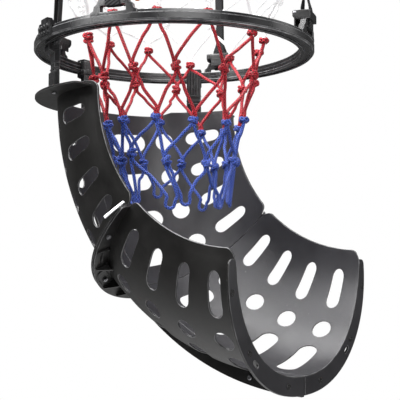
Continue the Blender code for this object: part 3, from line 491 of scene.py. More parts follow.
plate_holes = [
    stadium_hole((x, z), plate_hole_width, plate_hole_width)
    for x in (plate_low.x + plate_hole_inset, plate_high.x - plate_hole_inset)
    for z in (plate_low.z + plate_hole_inset, plate_high.z - plate_hole_inset)
]
bm = bmesh.new()
plate_corners = [(plate_low.x, plate_low.z), (plate_high.x, plate_low.z), (plate_high.x, plate_high.z),
                 (plate_low.x, plate_high.z)]
plate_outline = rounded_polygon(plate_corners, [plate_corner] * 4, 0.01)
pierced_sheet(bm, plate_outline, plate_holes, on_plate, plate_thickness, 0.0009, 0.014)
finish_piece("back_plate_steel", bm, "hoop", orange_coat, ["back_plate"])

# ---------------------------------------------------------------------------------------------
# Hoop: a bent steel tube with twelve open hooks of round wire welded under it, all powder coated
# orange. Each hook is bent on its own run of points round the tube, and a node tree gives the runs a round
# section.
# ---------------------------------------------------------------------------------------------
tube_radius = 0.008
tube_centre = rim_high.x - tube_radius
tube_z = rim_high.z - tube_radius
hook_count = 12
hook_wire = 0.0025
hook_reach = 0.0135
hook_drop = 0.022


def curve_piece(name, runs, cyclic=False):
    """A curve object with one straight-segment spline for each run of points."""
    data = bpy.data.curves.new(name, "CURVE")
    data.dimensions = "3D"
    for run in runs:
        spline = data.splines.new("POLY")
        spline.points.add(len(run) - 1)
        for point, where in zip(spline.points, run):
            point.co = (*where, 1.0)
        spline.use_cyclic_u = cyclic
    return new_object(name, data)


def smooth_run(points, steps=6):
    """A finer run through chosen points, by Catmull-Rom."""
    points = [Vector(p) for p in points]
    padded = [2 * points[0] - points[1], *points, 2 * points[-1] - points[-2]]
    made = []
    for a, b, c, d in zip(padded, padded[1:], padded[2:], padded[3:]):
        for i in range(steps):
            t = i / steps
            made.append(0.5 * (2 * b + (c - a) * t + (2 * a - 5 * b + 4 * c - d) * t * t
                               + (3 * b - a - 3 * c + d) * t ** 3))
    return [*made, points[-1]]


def new_tree(name, inputs):
    """A geometry node tree with some named inputs and a finish; gives its inputs' identifiers too."""
    tree = bpy.data.node_groups.new(name, "GeometryNodeTree")
    sockets = {}
    for label, kind in (("Geometry", "Geometry"), *inputs, ("Finish", "Material")):
        socket = tree.interface.new_socket(label, in_out="INPUT", socket_type="NodeSocket" + kind)
        sockets[label] = socket.identifier
    tree.interface.new_socket("Geometry", in_out="OUTPUT", socket_type="NodeSocketGeometry")
    return tree, sockets


def new_nodes(tree, *kinds):
    return [tree.nodes.new(kind) for kind in kinds]


def link_all(tree, pairs):
    for source, target in pairs:
        tree.links.new(source, target)


# Gives a curve a round section and keeps how far along and how far round each point is
wire_tree, wire_sockets = new_tree("round_wire", (("Radius", "Float"), ("Sides", "Int")))
(wire_in, wire_out, wire_spline, wire_along, wire_circle, wire_place, wire_around, wire_skin, wire_smooth,
 wire_real, wire_finish) = new_nodes(
    wire_tree, "NodeGroupInput", "NodeGroupOutput", "GeometryNodeSplineParameter",
    "GeometryNodeStoreNamedAttribute", "GeometryNodeCurvePrimitiveCircle", "GeometryNodeInputPosition",
    "GeometryNodeStoreNamedAttribute", "GeometryNodeCurveToMesh", "GeometryNodeSetShadeSmooth",
    "GeometryNodeRealizeInstances", "GeometryNodeSetMaterial")
wire_along.data_type = "FLOAT"
wire_along.inputs["Name"].default_value = "along"
wire_around.data_type = "FLOAT_VECTOR"
wire_around.inputs["Name"].default_value = "around"
wire_skin.inputs["Fill Caps"].default_value = True
link_all(wire_tree, (
    (wire_in.outputs["Geometry"], wire_along.inputs["Geometry"]),
    (wire_spline.outputs["Length"], wire_along.inputs["Value"]),
    (wire_in.outputs["Sides"], wire_circle.inputs["Resolution"]),
    (wire_in.outputs["Radius"], wire_circle.inputs["Radius"]),
    (wire_circle.outputs["Curve"], wire_around.inputs["Geometry"]),
    (wire_place.outputs["Position"], wire_around.inputs["Value"]),
    (wire_along.outputs["Geometry"], wire_skin.inputs["Curve"]),
    (wire_around.outputs["Geometry"], wire_skin.inputs["Profile Curve"]),
    (wire_skin.outputs["Mesh"], wire_smooth.inputs["Geometry"]),
    (wire_smooth.outputs["Geometry"], wire_real.inputs["Geometry"]),
    (wire_real.outputs["Geometry"], wire_finish.inputs["Geometry"]),
    (wire_in.outputs["Finish"], wire_finish.inputs["Material"]),
    (wire_finish.outputs["Geometry"], wire_out.inputs["Geometry"]),
))


def baked_piece(source, tree, sockets, values, name, body, replaced=(), sharp=40):
    """Runs a node tree on an object and keeps the result as a plain mesh piece."""
    change = source.modifiers.new(tree.name, "NODES")
    change.node_group = tree
    for label, value in values.items():
        change[sockets[label]] = value
    bpy.context.view_layer.update()
    deps = bpy.context.evaluated_depsgraph_get()
    mesh = bpy.data.meshes.new_from_object(source.evaluated_get(deps), depsgraph=deps)
    mesh.name = name
    source.modifiers.remove(change)
    bpy.data.objects.remove(source)
    mesh.set_sharp_from_angle(angle=math.radians(sharp))
    piece = new_object(name, mesh)
    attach(piece, body)
    if replaced:
        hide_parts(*replaced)
    return piece


def wire_piece(runs, radius, sides, material, name, body, replaced=(), cyclic=False):
    source = curve_piece(name + "_path", runs, cyclic)
    values = {"Radius": radius, "Sides": sides, "Finish": material}
    return baked_piece(source, wire_tree, wire_sockets, values, name, body, replaced, sharp=50)


hoop_run = []
hoop_steps = 144
for i in range(hoop_steps):
    angle = math.tau * i / hoop_steps
    hoop_run.append(hoop_axis + Vector((tube_centre * math.cos(angle), tube_centre * math.sin(angle),
                                        tube_z)))
wire_piece([hoop_run], tube_radius, 24, orange_coat, "hoop_tube", "hoop", ["rim"],
           cyclic=True)

hook_low = tube_z - tube_radius - hook_drop + 0.008
hook_runs = []
for i in range(hook_count):
    angle = math.tau * i / hook_count
    out_way = Vector((math.cos(angle), math.sin(angle), 0.0))
    shape = [(tube_centre, tube_z - 0.004), (tube_centre, hook_low + 0.006),
             (tube_centre - 0.002, hook_low + 0.001), (tube_centre - hook_reach / 2, hook_low - 0.0015),
             (tube_centre - hook_reach + 0.002, hook_low + 0.001),
             (tube_centre - hook_reach, hook_low + 0.008)]
    hook_runs.append(smooth_run([hoop_axis + out_way * r + Vector((0, 0, z)) for r, z in shape], 5))
wire_piece(hook_runs, hook_wire, 12, orange_coat, "net_hooks", "hoop")
weld_runs = []
for i in range(hook_count):
    angle = math.tau * i / hook_count
    centre = hoop_axis + Vector((tube_centre * math.cos(angle), tube_centre * math.sin(angle),
                                 tube_z - tube_radius - 0.0003))
    ring = []
    for k in range(16):
        turn = math.tau * k / 16
        ring.append(centre + Vector((0.0031 * math.cos(turn), 0.0031 * math.sin(turn), 0.0)))
    weld_runs.append(ring)
wire_piece(weld_runs, 0.0012, 8, orange_coat, "hook_welds", "hoop", cyclic=True)

# ---------------------------------------------------------------------------------------------
# Bracket: a steel shelf welded on the hoop with two gussets that rise to the plate, and a round
# stay on each side. The shelf's end follows the hoop; beads of weld run along every joint.
# ---------------------------------------------------------------------------------------------
shelf_low, shelf_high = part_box("rim_bracket")
shelf_thickness = 0.005
shelf_top = shelf_low.z + shelf_thickness
shelf_reach = tube_centre - tube_radius + 0.003
shelf_half = shelf_high.x
swing = math.degrees(math.asin(shelf_half / shelf_reach))
hoop_centre = Vector((0.0, hoop_axis.y))
arc_places = arc_points(hoop_centre, shelf_reach, 90 + swing, -2 * swing, 18)
shelf_corners = [tuple(point) for point, _ in arc_places] + [(shelf_half, shelf_high.y),
                                                             (-shelf_half, shelf_high.y)]
shelf_radii = [0.0] * len(arc_places) + [0.004, 0.004]
shelf_outline = rounded_polygon(shelf_corners, shelf_radii, 0.01, 4)
bm = bmesh.new()
pierced_sheet(bm, shelf_outline, [], lambda p, depth: Vector((p.x, p.y, shelf_top - depth)), shelf_thickness,
              0.0007, 0.012)
gusset_front = shelf_low.y + 0.050
gusset_x = shelf_half - 1.5 * shelf_thickness
gusset_rise = shelf_high.z
weld_paths = []
for side in (-1, 1):
    corners = [(gusset_front, shelf_top - 0.0005), (shelf_high.y, shelf_top - 0.0005),
               (shelf_high.y, gusset_rise), (gusset_front, shelf_top + 0.008)]
    outline = rounded_polygon(corners, [0.001, 0.001, 0.003, 0.003], 0.012, 3)
    pierced_sheet(bm, outline, [], lambda p, depth, side=side: Vector(
        (side * gusset_x + shelf_thickness / 2 - depth, p.x, p.y)), shelf_thickness, 0.0006, 0.014)
    for offset in (-1, 1):
        x = side * gusset_x + offset * (shelf_thickness / 2 + 0.0006)
        weld_paths.append([Vector((x, y, shelf_top + 0.0006))
                           for y in np.linspace(shelf_high.y - 0.003, gusset_front, 24)])
        weld_paths.append([Vector((x, shelf_high.y - 0.0006, z))
                           for z in np.linspace(shelf_top + 0.002, gusset_rise - 0.004, 20)])
finish_piece("hoop_bracket", bm, "hoop", orange_coat, ["rim_bracket"])
weld_paths.append([Vector((x, shelf_high.y - 0.0008, shelf_top + 0.0006))
                   for x in np.linspace(-shelf_half + 0.004, shelf_half - 0.004, 24)])
arc = [math.radians(90 + swing * (0.96 - 1.92 * i / 24)) for i in range(25)]
weld_paths.append([Vector((shelf_reach * math.cos(a), hoop_axis.y + shelf_reach * math.sin(a),
                           shelf_low.z - 0.0008)) for a in arc])
weld_random = random.Random(4)
weld_paths = [[p + Vector((0, 0, weld_random.uniform(-0.00025, 0.00025))) for p in run] for run in weld_paths]
wire_piece(weld_paths, 0.0016, 8, orange_coat, "bracket_welds", "hoop")

brace_radius = 0.006
for side, name in ((-1, "rim_brace_left"), (1, "rim_brace_right")):
    low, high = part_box(name)
    inner_x, outer_x = (low.x, high.x) if side > 0 else (high.x, low.x)
    foot = Vector((inner_x + side * brace_radius, high.y - 0.001, high.z - brace_radius))
    tip = Vector((outer_x - side * brace_radius, low.y + brace_radius, low.z + brace_radius))
    run = [foot.lerp(tip, i / 30) for i in range(31)]
    wire_piece([run], brace_radius - 0.0003, 20, orange_coat, name.replace("rim_", "") + "_stay", "hoop",
               [name])

# ---------------------------------------------------------------------------------------------
# Net: twelve doubled strands of soft braided cord in three dyed bands. The white band hangs from
# the hooks, the red one is tied through it, the blue one through the red; each crossing is a knot
# of two tilted wraps. The net hangs unevenly, so every knot has a place of its own.
# ---------------------------------------------------------------------------------------------
# The weave of a braided cord, from how far along and how far round the cord a point lies, and a mix that
# darkens the creases between strands as painted shade, with random fibre flecks
braid_group, start, end = new_group(
    "braid", (("Pitch", 0.0056), ("Strands", 4.0)),
    (("Height", "NodeSocketFloat"), ("Shade And Fibre Mix", "NodeSocketFloat")))
apart = braid_group.nodes.new("ShaderNodeSeparateXYZ")
braid_group.links.new(attribute_of(braid_group, "around", "Vector"), apart.inputs["Vector"])
turn = maths(braid_group, "ARCTAN2", apart.outputs["Y"], apart.outputs["X"])
turn = maths(braid_group, "MULTIPLY", turn, start.outputs["Strands"])
run = maths(braid_group, "DIVIDE", attribute_of(braid_group, "along"), start.outputs["Pitch"])
run = maths(braid_group, "MULTIPLY", run, math.tau)
one_way = maths(braid_group, "SINE", maths(braid_group, "ADD", run, turn))
other_way = maths(braid_group, "SINE", maths(braid_group, "SUBTRACT", run, turn))
weave = maths(braid_group, "MAXIMUM", one_way, other_way)
fuzz_place = braid_group.nodes.new("ShaderNodeTexCoord").outputs["Object"]
fuzz = noise_of(braid_group, fuzz_place, 1400.0, 3.0, 0.7)
height = maths(braid_group, "ADD", weave, maths(braid_group, "MULTIPLY", fuzz, 1.2))
braid_group.links.new(height, end.inputs["Height"])
# Low between strands: the colour mix paints shade there, and fibre noise adds random flecks
shade_and_fibre_mix = maths(braid_group, "MULTIPLY", ramp(braid_group, weave, 0.1, 1.0),
                ramp(braid_group, fuzz, 0.3, 0.7, 0.45, 1.0))
braid_group.links.new(shade_and_fibre_mix, end.inputs["Shade And Fibre Mix"])


def cord_finish(name, crease_shade_and_fibre_colour, bright, sheen, glow=0.0):
    """Dyed cord, darkened in the braid's creases as painted shade; glow stands for the light that passes
    through undyed fibres.
    """
    made, tree, shader = new_material(name)
    braid = tree.nodes.new("ShaderNodeGroup")
    braid.node_tree = braid_group
    tree.links.new(colour_mix(tree, crease_shade_and_fibre_colour, bright, braid.outputs["Shade And Fibre Mix"]), shader.inputs["Base Color"])
    set_inputs(shader, {"Roughness": 0.50, "Sheen Weight": sheen, "Sheen Roughness": 0.4})
    relief(tree, braid.outputs["Height"], 0.0010, shader.inputs["Normal"])
    if glow:
        set_inputs(shader, {"Emission Color": (1.0, 1.0, 1.0, 1.0), "Emission Strength": glow})
    return made


# The first colour of each cord is the painted shade of its creases and darker fibres
white_cord = cord_finish("white_braid", (0.72, 0.72, 0.73), (0.92, 0.92, 0.92), 0.1, 0.42)
red_cord = cord_finish("red_braid", (0.12, 0.001, 0.004), (0.98, 0.010, 0.040), 0.08)
blue_cord = cord_finish("blue_braid", (0.003, 0.008, 0.085), (0.080, 0.20, 1.0), 0.15)

cord_radius = 0.0029
net_random = random.Random(11)


def net_spot(turn, height, radius):
    """A place on the net: a turn about the hoop's axis, a height above the ring's underside, a radius."""
    angle = math.radians(turn)
    return hoop_axis + Vector((radius * math.cos(angle), radius * math.sin(angle), ring_low + height))


class Knot:
    """One crossing of the net: its place, the way down it, and the way out of the net."""

    def __init__(self, place):
        self.place = place
        out_way = Vector((place.x - hoop_axis.x, place.y - hoop_axis.y, 0.0)).normalized()
        self.out = (out_way + Vector((0, 0, -0.12))).normalized()
        self.side = Vector((0, 0, 1)).cross(out_way).normalized()
        self.up = self.out.cross(self.side).normalized()
        self.lean = net_random.uniform(-0.22, 0.22)

    def at(self, side, up, out):
        """A place near the knot, from amounts across, up and outwards."""
        flat, steep = math.cos(self.lean), math.sin(self.lean)
        turned = flat * side - steep * up, steep * side + flat * up
        return self.place + self.side * turned[0] + self.up * turned[1] + self.out * out


hook_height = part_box("net_white")[1].z - ring_low + 0.0005
hook_radius = tube_centre - hook_reach / 2


def knots_at(turns, heights, radius):
    return [Knot(net_spot(turn, height, radius)) for turn, height in zip(turns, heights)]


hooks = knots_at(range(-180, 180, 360 // hook_count), [hook_height] * hook_count, hook_radius)
white_knots = knots_at(
    [-166, -138, -106, -77, -44, -18, 13, 44, 73, 103, 135, 164],
    [0.104, 0.109, 0.103, 0.107, 0.101, 0.108, 0.104, 0.103, 0.109, 0.102, 0.107, 0.105], 0.189)
waist = knots_at(
    [-183, -153, -123, -93, -57, -29, -9, 25, 56, 86, 118, 148],
    [0.028, 0.050, 0.045, 0.045, 0.026, 0.031, 0.022, 0.030, 0.024, 0.051, 0.050, 0.040], 0.160)
red_knots = knots_at(
    [-170, -141, -112, -78, -40, -20, 5, 29, 66, 99, 132, 162],
    [-0.053, -0.047, -0.047, -0.046, -0.041, -0.045, -0.045, -0.044, -0.032, -0.027, -0.040, -0.045], 0.143)
low_waist = knots_at(
    [-182, -158, -127, -98, -68, -27, -5, 18, 43, 80, 116, 148],
    [-0.126, -0.124, -0.124, -0.129, -0.128, -0.111, -0.120, -0.120, -0.118, -0.097, -0.100, -0.120], 0.124)
blue_knots = knots_at(
    [-171, -155, -120, -83, -40, -24, 4, 23, 60, 100, 130, 162],
    [-0.195, -0.183, -0.199, -0.202, -0.191, -0.191, -0.190, -0.193, -0.182, -0.183, -0.184, -0.190], 0.107)
hem = knots_at(
    [176, -158, -117, -102, -62, -30, -12, 14, 35, 86, 113, 146],
    [-0.250, -0.261, -0.271, -0.265, -0.268, -0.262, -0.254, -0.260, -0.264, -0.239, -0.251, -0.255], 0.098)


def strand(start, start_side, end, end_side, spread, bow, end_spread=None):
    """A slack run between two knots, leaving each beside its middle, with a bow of its own."""
    first = start.at(start_side * spread, -0.0065, 0.0012)
    leaving = start.at(start_side * spread * 1.35, -0.0140, 0.0008)
    end_spread = end_spread or spread
    arriving = end.at(end_side * end_spread * 1.35, 0.0140, 0.0008)
    last = end.at(end_side * end_spread, 0.0065, 0.0012)
    out_way = (start.out + end.out).normalized()
    across = (start.side + end.side).normalized()
    middle = leaving.lerp(arriving, 0.5) + out_way * bow * 0.5 + across * net_random.uniform(-0.004, 0.004)
    third = leaving.lerp(arriving, 0.25) + across * net_random.uniform(-0.0015, 0.0015)
    return [first, leaving, third.lerp(middle, 0.15), middle, arriving, last]


def wrap(knot, tilt, radius_side, radius_out, up, turns=1.0):
    """A turn of cord round a knot's core, tilted across it."""
    made = []
    steps = round(22 * turns)
    for i in range(steps + 1):
        a = math.tau * turns * i / steps
        made.append(knot.at(radius_side * math.cos(a), up + tilt * math.cos(a), radius_out * math.sin(a)))
    return made


def knot_runs(knot, cord, wide=1.0):
    """The two tilted wraps of one knot and the strand that crosses its face."""
    c = cord
    runs = [wrap(knot, 0.0018, 2.15 * c * wide, 2.0 * c, 0.95 * c, 1.15),
            wrap(knot, -0.0020, 2.05 * c * wide, 1.9 * c, -0.95 * c, 1.15)]
    face = [(-1.9 * c, 2.0 * c, 0.6 * c), (-0.9 * c, 1.2 * c, 2.5 * c), (0.9 * c, -1.2 * c, 2.6 * c),
            (1.9 * c, -2.0 * c, 0.6 * c)]
    flip = net_random.choice((-1, 1))
    runs.append(smooth_run([knot.at(s * flip, u, o) for s, u, o in face], 6))
    return runs


def through(knot, cord):
    """The pair of strands that run down inside a knot."""
    runs = []
    for side in (-1, 1):
        points = [(side * 0.75 * cord, 3.3 * cord, 0.2 * cord), (side * 0.95 * cord, 1.0 * cord, 0.4 * cord),
                  (side * 0.85 * cord, -1.0 * cord, -0.2 * cord),
                  (side * 0.75 * cord, -3.3 * cord, 0.2 * cord)]
        runs.append([knot.at(*p) for p in points])
    return runs


def band_runs(upper, middle, lower, cord, lower_is_loop):
    """All the cord of one band: from the upper row, through the knots between, to the lower row."""
    runs = []
    end_spread = 0.0072 if lower_is_loop else 0.75 * cord
    drop = 0.0085
    for k, knot in enumerate(middle):
        following = (k + 1) % hook_count
        left = strand(upper[k], 1, knot, -1, 0.75 * cord, net_random.uniform(-0.006, 0.004))
        right = strand(upper[following], -1, knot, 1, 0.75 * cord, net_random.uniform(-0.006, 0.004))
        inner = through(knot, cord)
        bows = net_random.uniform(-0.005, 0.005), net_random.uniform(-0.005, 0.005)
        below_left = strand(knot, -1, lower[k], 1, 0.75 * cord, bows[0], end_spread)
        below_right = strand(knot, 1, lower[following], -1, 0.75 * cord, bows[1], end_spread)
        runs.append(smooth_run([*left[:-1], *inner[0][1:-1], *below_left[1:]], 7))
        runs.append(smooth_run([*right[:-1], *inner[1][1:-1], *below_right[1:]], 7))
        runs += knot_runs(knot, cord)
    w = end_spread
    for low in lower:
        # The bight that hangs through the row below, or the open loop of the hem
        bight = [low.at(-w, 0.0065, 0.0012), low.at(-1.05 * w, 0.0, 0.0010),
                 low.at(-0.8 * w, -drop * 0.7, 0.0014), low.at(0.0, -drop, 0.0018),
                 low.at(0.8 * w, -drop * 0.7, 0.0014), low.at(1.05 * w, 0.0, 0.0010),
                 low.at(w, 0.0065, 0.0012)]
        runs.append(smooth_run(bight, 6))
    return runs


def hitch_runs(row, cord):
    """The lark's head with which the next band is tied round the bight above."""
    runs = []
    for knot in row:
        runs.append(wrap(knot, 0.0008, 2.1 * cord, 1.95 * cord, -0.0020, 1.0))
        runs.append(wrap(knot, -0.0010, 2.2 * cord, 2.05 * cord, -0.0066, 1.0))
        runs.append(smooth_run([knot.at(-1.5 * cord, -0.0005, 1.5 * cord), knot.at(0.0, -0.0042, 2.75 * cord),
                                knot.at(1.5 * cord, -0.0080, 1.5 * cord)], 8))
    return runs


def loop_over_hook(knot, cord):
    """The eye at the top of the net, which sits on a hook."""
    return smooth_run([knot.at(-0.75 * cord, -0.0065, 0.0012), knot.at(-1.5 * cord, 0.0, 0.0),
                       knot.at(-1.1 * cord, 0.0055, 0.0), knot.at(0.0, 0.0080, 0.0),
                       knot.at(1.1 * cord, 0.0055, 0.0), knot.at(1.5 * cord, 0.0, 0.0),
                       knot.at(0.75 * cord, -0.0065, 0.0012)], 6)


white_runs = band_runs(hooks, white_knots, waist, cord_radius, False)
white_runs += [loop_over_hook(knot, cord_radius) for knot in hooks]
wire_piece(white_runs, cord_radius, 12, white_cord, "net_white_cord", "hoop", ["net_white"])
red_runs = band_runs(waist, red_knots, low_waist, cord_radius, False) + hitch_runs(waist, cord_radius)
wire_piece(red_runs, cord_radius, 12, red_cord, "net_red_cord", "hoop", ["net_red"])
blue_runs = band_runs(low_waist, blue_knots, hem, cord_radius, True) + hitch_runs(low_waist, cord_radius)
wire_piece(blue_runs, cord_radius, 12, blue_cord, "net_blue_cord", "hoop", ["net_blue"])

# ---------------------------------------------------------------------------------------------
# Support ring: two moulded halves of black plastic with a running groove in the top and another
# under it. Four lugs stand up from the outer wall, each with a slot for a strap; a clasp bridges
# one seam and a steel key joins the other.
# ---------------------------------------------------------------------------------------------
ring_height = 0.018
ring_inner, ring_outer = 0.225, 0.250
ring_seam = math.radians(188.6)
lug_turn = math.radians(44.6)
lug_inner, lug_outer = 0.2405, 0.2506
ring_steps = 128


def ring_spot(angle, radius, height):
    """A place round the hoop's axis, with its height above the ring's underside."""
    return hoop_axis + Vector((radius * math.cos(angle), radius * math.sin(angle), ring_low + height))


def round_way(angle):
    """The way round the hoop's axis at an angle."""
    return Vector((-math.sin(angle), math.cos(angle), 0.0))


def join_rows(bm, rows, capped=True):
    """Joins rows of points by faces all round, with a cap on the first and the last."""
    if capped:
        bm.faces.new(rows[0])
        bm.faces.new(rows[-1][::-1])
    for near, far in zip(rows, rows[1:]):
        for i in range(len(near)):
            j = (i + 1) % len(near)
            bm.faces.new((near[i], far[i], far[j], near[j]))


def swept_round(bm, outline, start, sweep, steps, edge_value=0.0):
    """Adds a closed outline of (radius, height) swept part of the way round, capped at both ends.

    An edge value marks the outline's corners for edge wear and a painted highlight, and leaves its flats
    clean.
    """
    edge_mask = bm.verts.layers.float.get("edge") or bm.verts.layers.float.new("edge")
    marked = []
    for here, after in zip(outline, outline[1:] + outline[:1]):
        marked.append((here, edge_value))
        length = math.dist(here, after)
        if edge_value and length > 0.0012:
            share = 0.0003 / length
            for t in (share, 1 - share):
                marked.append(((here[0] + (after[0] - here[0]) * t, here[1] + (after[1] - here[1]) * t), 0.0))
    rows = []
    for i in range(steps + 1):
        row = []
        for (r, h), value in marked:
            row.append(bm.verts.new(ring_spot(start + sweep * i / steps, r, h)))
            row[-1][edge_mask] = value
        rows.append(row)
    join_rows(bm, rows)


def softened(corners, radius, steps=3):
    """The corners of a counter-clockwise outline, each rounded a little."""
    return [tuple(point) for point, _ in rounded_polygon(corners, [radius] * len(corners), 1.0, steps)]


black_ring = hard_finish("black_ring_plastic", (0.010, 0.010, 0.011), (0.026, 0.026, 0.027),
                         (0.34, 0.34, 0.35), (0.20, 0.38), mottle_scale=20.0, grain_scale=1700.0,
                         grain_depth=0.00004, scuffs=0.6)
ring_section = [
    (0.2250, 0.0004), (0.2256, 0.0), (0.2320, 0.0), (0.2324, 0.0030), (0.2426, 0.0030), (0.2430, 0.0),
    (0.2479, 0.0), (0.2481, 0.0017), (0.2500, 0.0025), (0.2500, 0.0126), (0.2484, 0.0137), (0.2480, 0.0180),
    (0.2396, 0.0180), (0.2393, 0.0122), (0.2302, 0.0122), (0.2299, 0.0180), (0.2258, 0.0180),
    (0.2250, 0.0172), (0.2250, 0.0112), (0.2262, 0.0104), (0.2262, 0.0050), (0.2250, 0.0042),
]
for number, (name, start) in enumerate((("ring_half_front", ring_seam),
                                        ("ring_half_rear", ring_seam + math.pi))):
    bm = bmesh.new()
    swept_round(bm, softened(ring_section, 0.0004, 2), start + 0.0008, math.pi - 0.0016, ring_steps, 0.8)
    for k in range(4):
        angle = lug_turn + math.tau * k / 4
        if (angle - start) % math.tau > math.pi:
            continue
        low = ring_height - 0.005
        shoulder = [(x, ring_height + rise) for x, rise in (
            (0.0405, 0.0008), (0.0352, 0.0030), (0.0336, 0.0100), (0.0290, 0.0125), (0.0245, 0.0216),
            (0.0113, 0.0220))]
        corners = [(-0.0405, low), (0.0405, low), *shoulder, *((-x, h) for x, h in shoulder[::-1])]
        outline = rounded_polygon(corners, [0.001] * 14, 0.005, 3)
        slot_corners = [(-0.0222, ring_height - 0.0005), (-0.0222, ring_height + 0.0100),
                        (0.0222, ring_height + 0.0100), (0.0222, ring_height - 0.0005)]
        slot = [(point, into) for point, into in rounded_polygon(slot_corners, [0.002] * 4, 0.005, 4)]

        def on_lug(point, depth, angle=angle):
            return ring_spot(angle + point.x / ring_outer, lug_outer - depth, point.y)

        pierced_sheet(bm, outline, [slot], on_lug, lug_outer - lug_inner, 0.0009, 0.008)
        # Raised border round the slot and a short stiffening rib on each shoulder
        for side in (-1, 1):
            place = angle + side * 0.0315 / ring_outer
            half = 0.0012 / ring_outer
            swept_round(bm, softened([(0.2380, ring_height - 0.002), (0.2412, ring_height - 0.002),
                                      (0.2412, ring_height + 0.0085), (0.2400, ring_height + 0.0090)],
                                      0.0004),
                        place - half, 2 * half, 2)
    finish_piece(name + "_moulding", bm, "hoop", black_ring, [name], sharp=38)

bm = bmesh.new()
half = 0.0245 / ring_outer
clasp_section = [(0.2503, 0.0010), (0.2538, 0.0014), (0.2538, 0.0215), (0.2522, 0.0238), (0.2424, 0.0238),
                 (0.2420, 0.0184), (0.2503, 0.0184)]
swept_round(bm, softened(clasp_section, 0.0007), ring_seam - half, 2 * half, 14)
for offset, wide, rise in ((-0.0190, 0.0050, 0.0262), (0.0, 0.0220, 0.0322), (0.0190, 0.0050, 0.0262)):
    place = ring_seam + offset / ring_outer
    swept_round(bm, softened([(0.2418, 0.0200), (0.2536, 0.0200), (0.2536, rise - 0.001), (0.2526, rise),
                              (0.2432, rise), (0.2418, rise - 0.002)], 0.0006), place - wide / 2 / ring_outer,
                              wide / ring_outer, 5)
# Two rows of round bosses on the clasp's face
for offset in (-0.0150, -0.0050, 0.0050, 0.0150):
    for height in (0.0062, 0.0160):
        rows = []
        for size, reach in ((0.0038, 0.2530), (0.0038, 0.2556), (0.0033, 0.2563), (0.0016, 0.2566),
                            (0.0014, 0.2556)):
            row = []
            for i in range(16):
                a = math.tau * i / 16
                place = ring_seam + (offset + size * math.cos(a)) / ring_outer
                row.append(bm.verts.new(ring_spot(place, reach, height + size * math.sin(a))))
            rows.append(row)
        join_rows(bm, rows)
finish_piece("ring_clasp_moulding", bm, "hoop", black_ring, ["ring_clasp"], sharp=38)

# ---------------------------------------------------------------------------------------------
# Straps: 25 mm polyester webbing, 1.6 mm thick, looped over the hoop's tube and through each
# lug's slot, gathered a little along its free run. The weave is a twill of slanting ribs.
# ---------------------------------------------------------------------------------------------
strap_half = 0.0125
strap_thick = 0.0016
strap_steps = 220
rib_pitch, rib_lean, thread_pitch = 0.0050, 0.0095, 0.0013
webbing, tree, shader = new_material("black_webbing")
across = attribute_of(tree, "across")
slant = maths(tree, "ADD", maths(tree, "MULTIPLY", attribute_of(tree, "along"), math.tau / rib_pitch),
              maths(tree, "MULTIPLY", across, math.tau / rib_lean))
ribs = ramp(tree, maths(tree, "SINE", slant), -1.0, 1.0)
threads = ramp(tree, maths(tree, "SINE", maths(tree, "MULTIPLY", across, math.tau / thread_pitch)), -1.0, 1.0)
weave = maths(tree, "ADD", maths(tree, "MULTIPLY", ribs, 0.75), maths(tree, "MULTIPLY", threads, 0.25))
# The colour darkens down the grooves between the ribs: painted shade
groove_shaded_colour = colour_mix(tree, (0.002, 0.002, 0.002), (0.055, 0.055, 0.058), weave)
tree.links.new(groove_shaded_colour, shader.inputs["Base Color"])
set_inputs(shader, {"Roughness": 0.85, "Specular IOR Level": 0.2})
relief(tree, weave, 0.0006, shader.inputs["Normal"])


def belt(circles, grow, steps):
    """Points of the tightest loop about circles of (radius, height, size)."""
    made = []
    for i in range(steps):
        angle = math.tau * (i + 0.5) / steps
        way = (math.cos(angle), math.sin(angle))
        r, h, size = max(circles, key=lambda c: c[0] * way[0] + c[1] * way[1] + c[2])
        made.append((r + (size + grow) * way[0], h + (size + grow) * way[1]))
    return made


tube_over_ring = tube_z - ring_low
hoop_inside = 0.2286
strap_slack = 0.0003 + hoop_inside - math.sqrt(hoop_inside ** 2 - strap_half ** 2)
bar_low = ring_height - 0.002 + 0.012 + 0.001
grip = 0.001 + strap_slack
strap_circles = [(tube_centre, tube_over_ring, tube_radius + strap_slack), (lug_inner + 0.001, bar_low, grip),
                 (lug_outer - 0.001, bar_low, grip), (lug_outer - 0.001, ring_height + 0.021, grip)]


def resampled(points, spacing):
    """A closed run of points respaced evenly, with its total length."""
    points = [Vector(p) for p in points] + [Vector(points[0])]
    lengths = np.cumsum([0.0] + [(b - a).length for a, b in zip(points, points[1:])])
    count = round(lengths[-1] / spacing)
    at = np.linspace(0.0, lengths[-1], count, endpoint=False)
    columns = [np.interp(at, lengths, [p[k] for p in points]) for k in (0, 1)]
    return list(zip(*columns)), lengths[-1]


def smooth_share(value, low, high):
    """0 below low, 1 above high, and a smooth rise between."""
    share = min(1.0, max(0.0, (value - low) / (high - low)))
    return share * share * (3 - 2 * share)


free_low, free_high = ring_height + 0.041, tube_over_ring - 0.010
strap_foot = (lug_inner + lug_outer) / 2


def gathering(height):
    """How far the strap is drawn together at a height: not at all at the buckle and the tube."""
    return smooth_share(height, free_low,
                        free_low + 0.022) * (1 - smooth_share(height, free_high - 0.024, free_high))


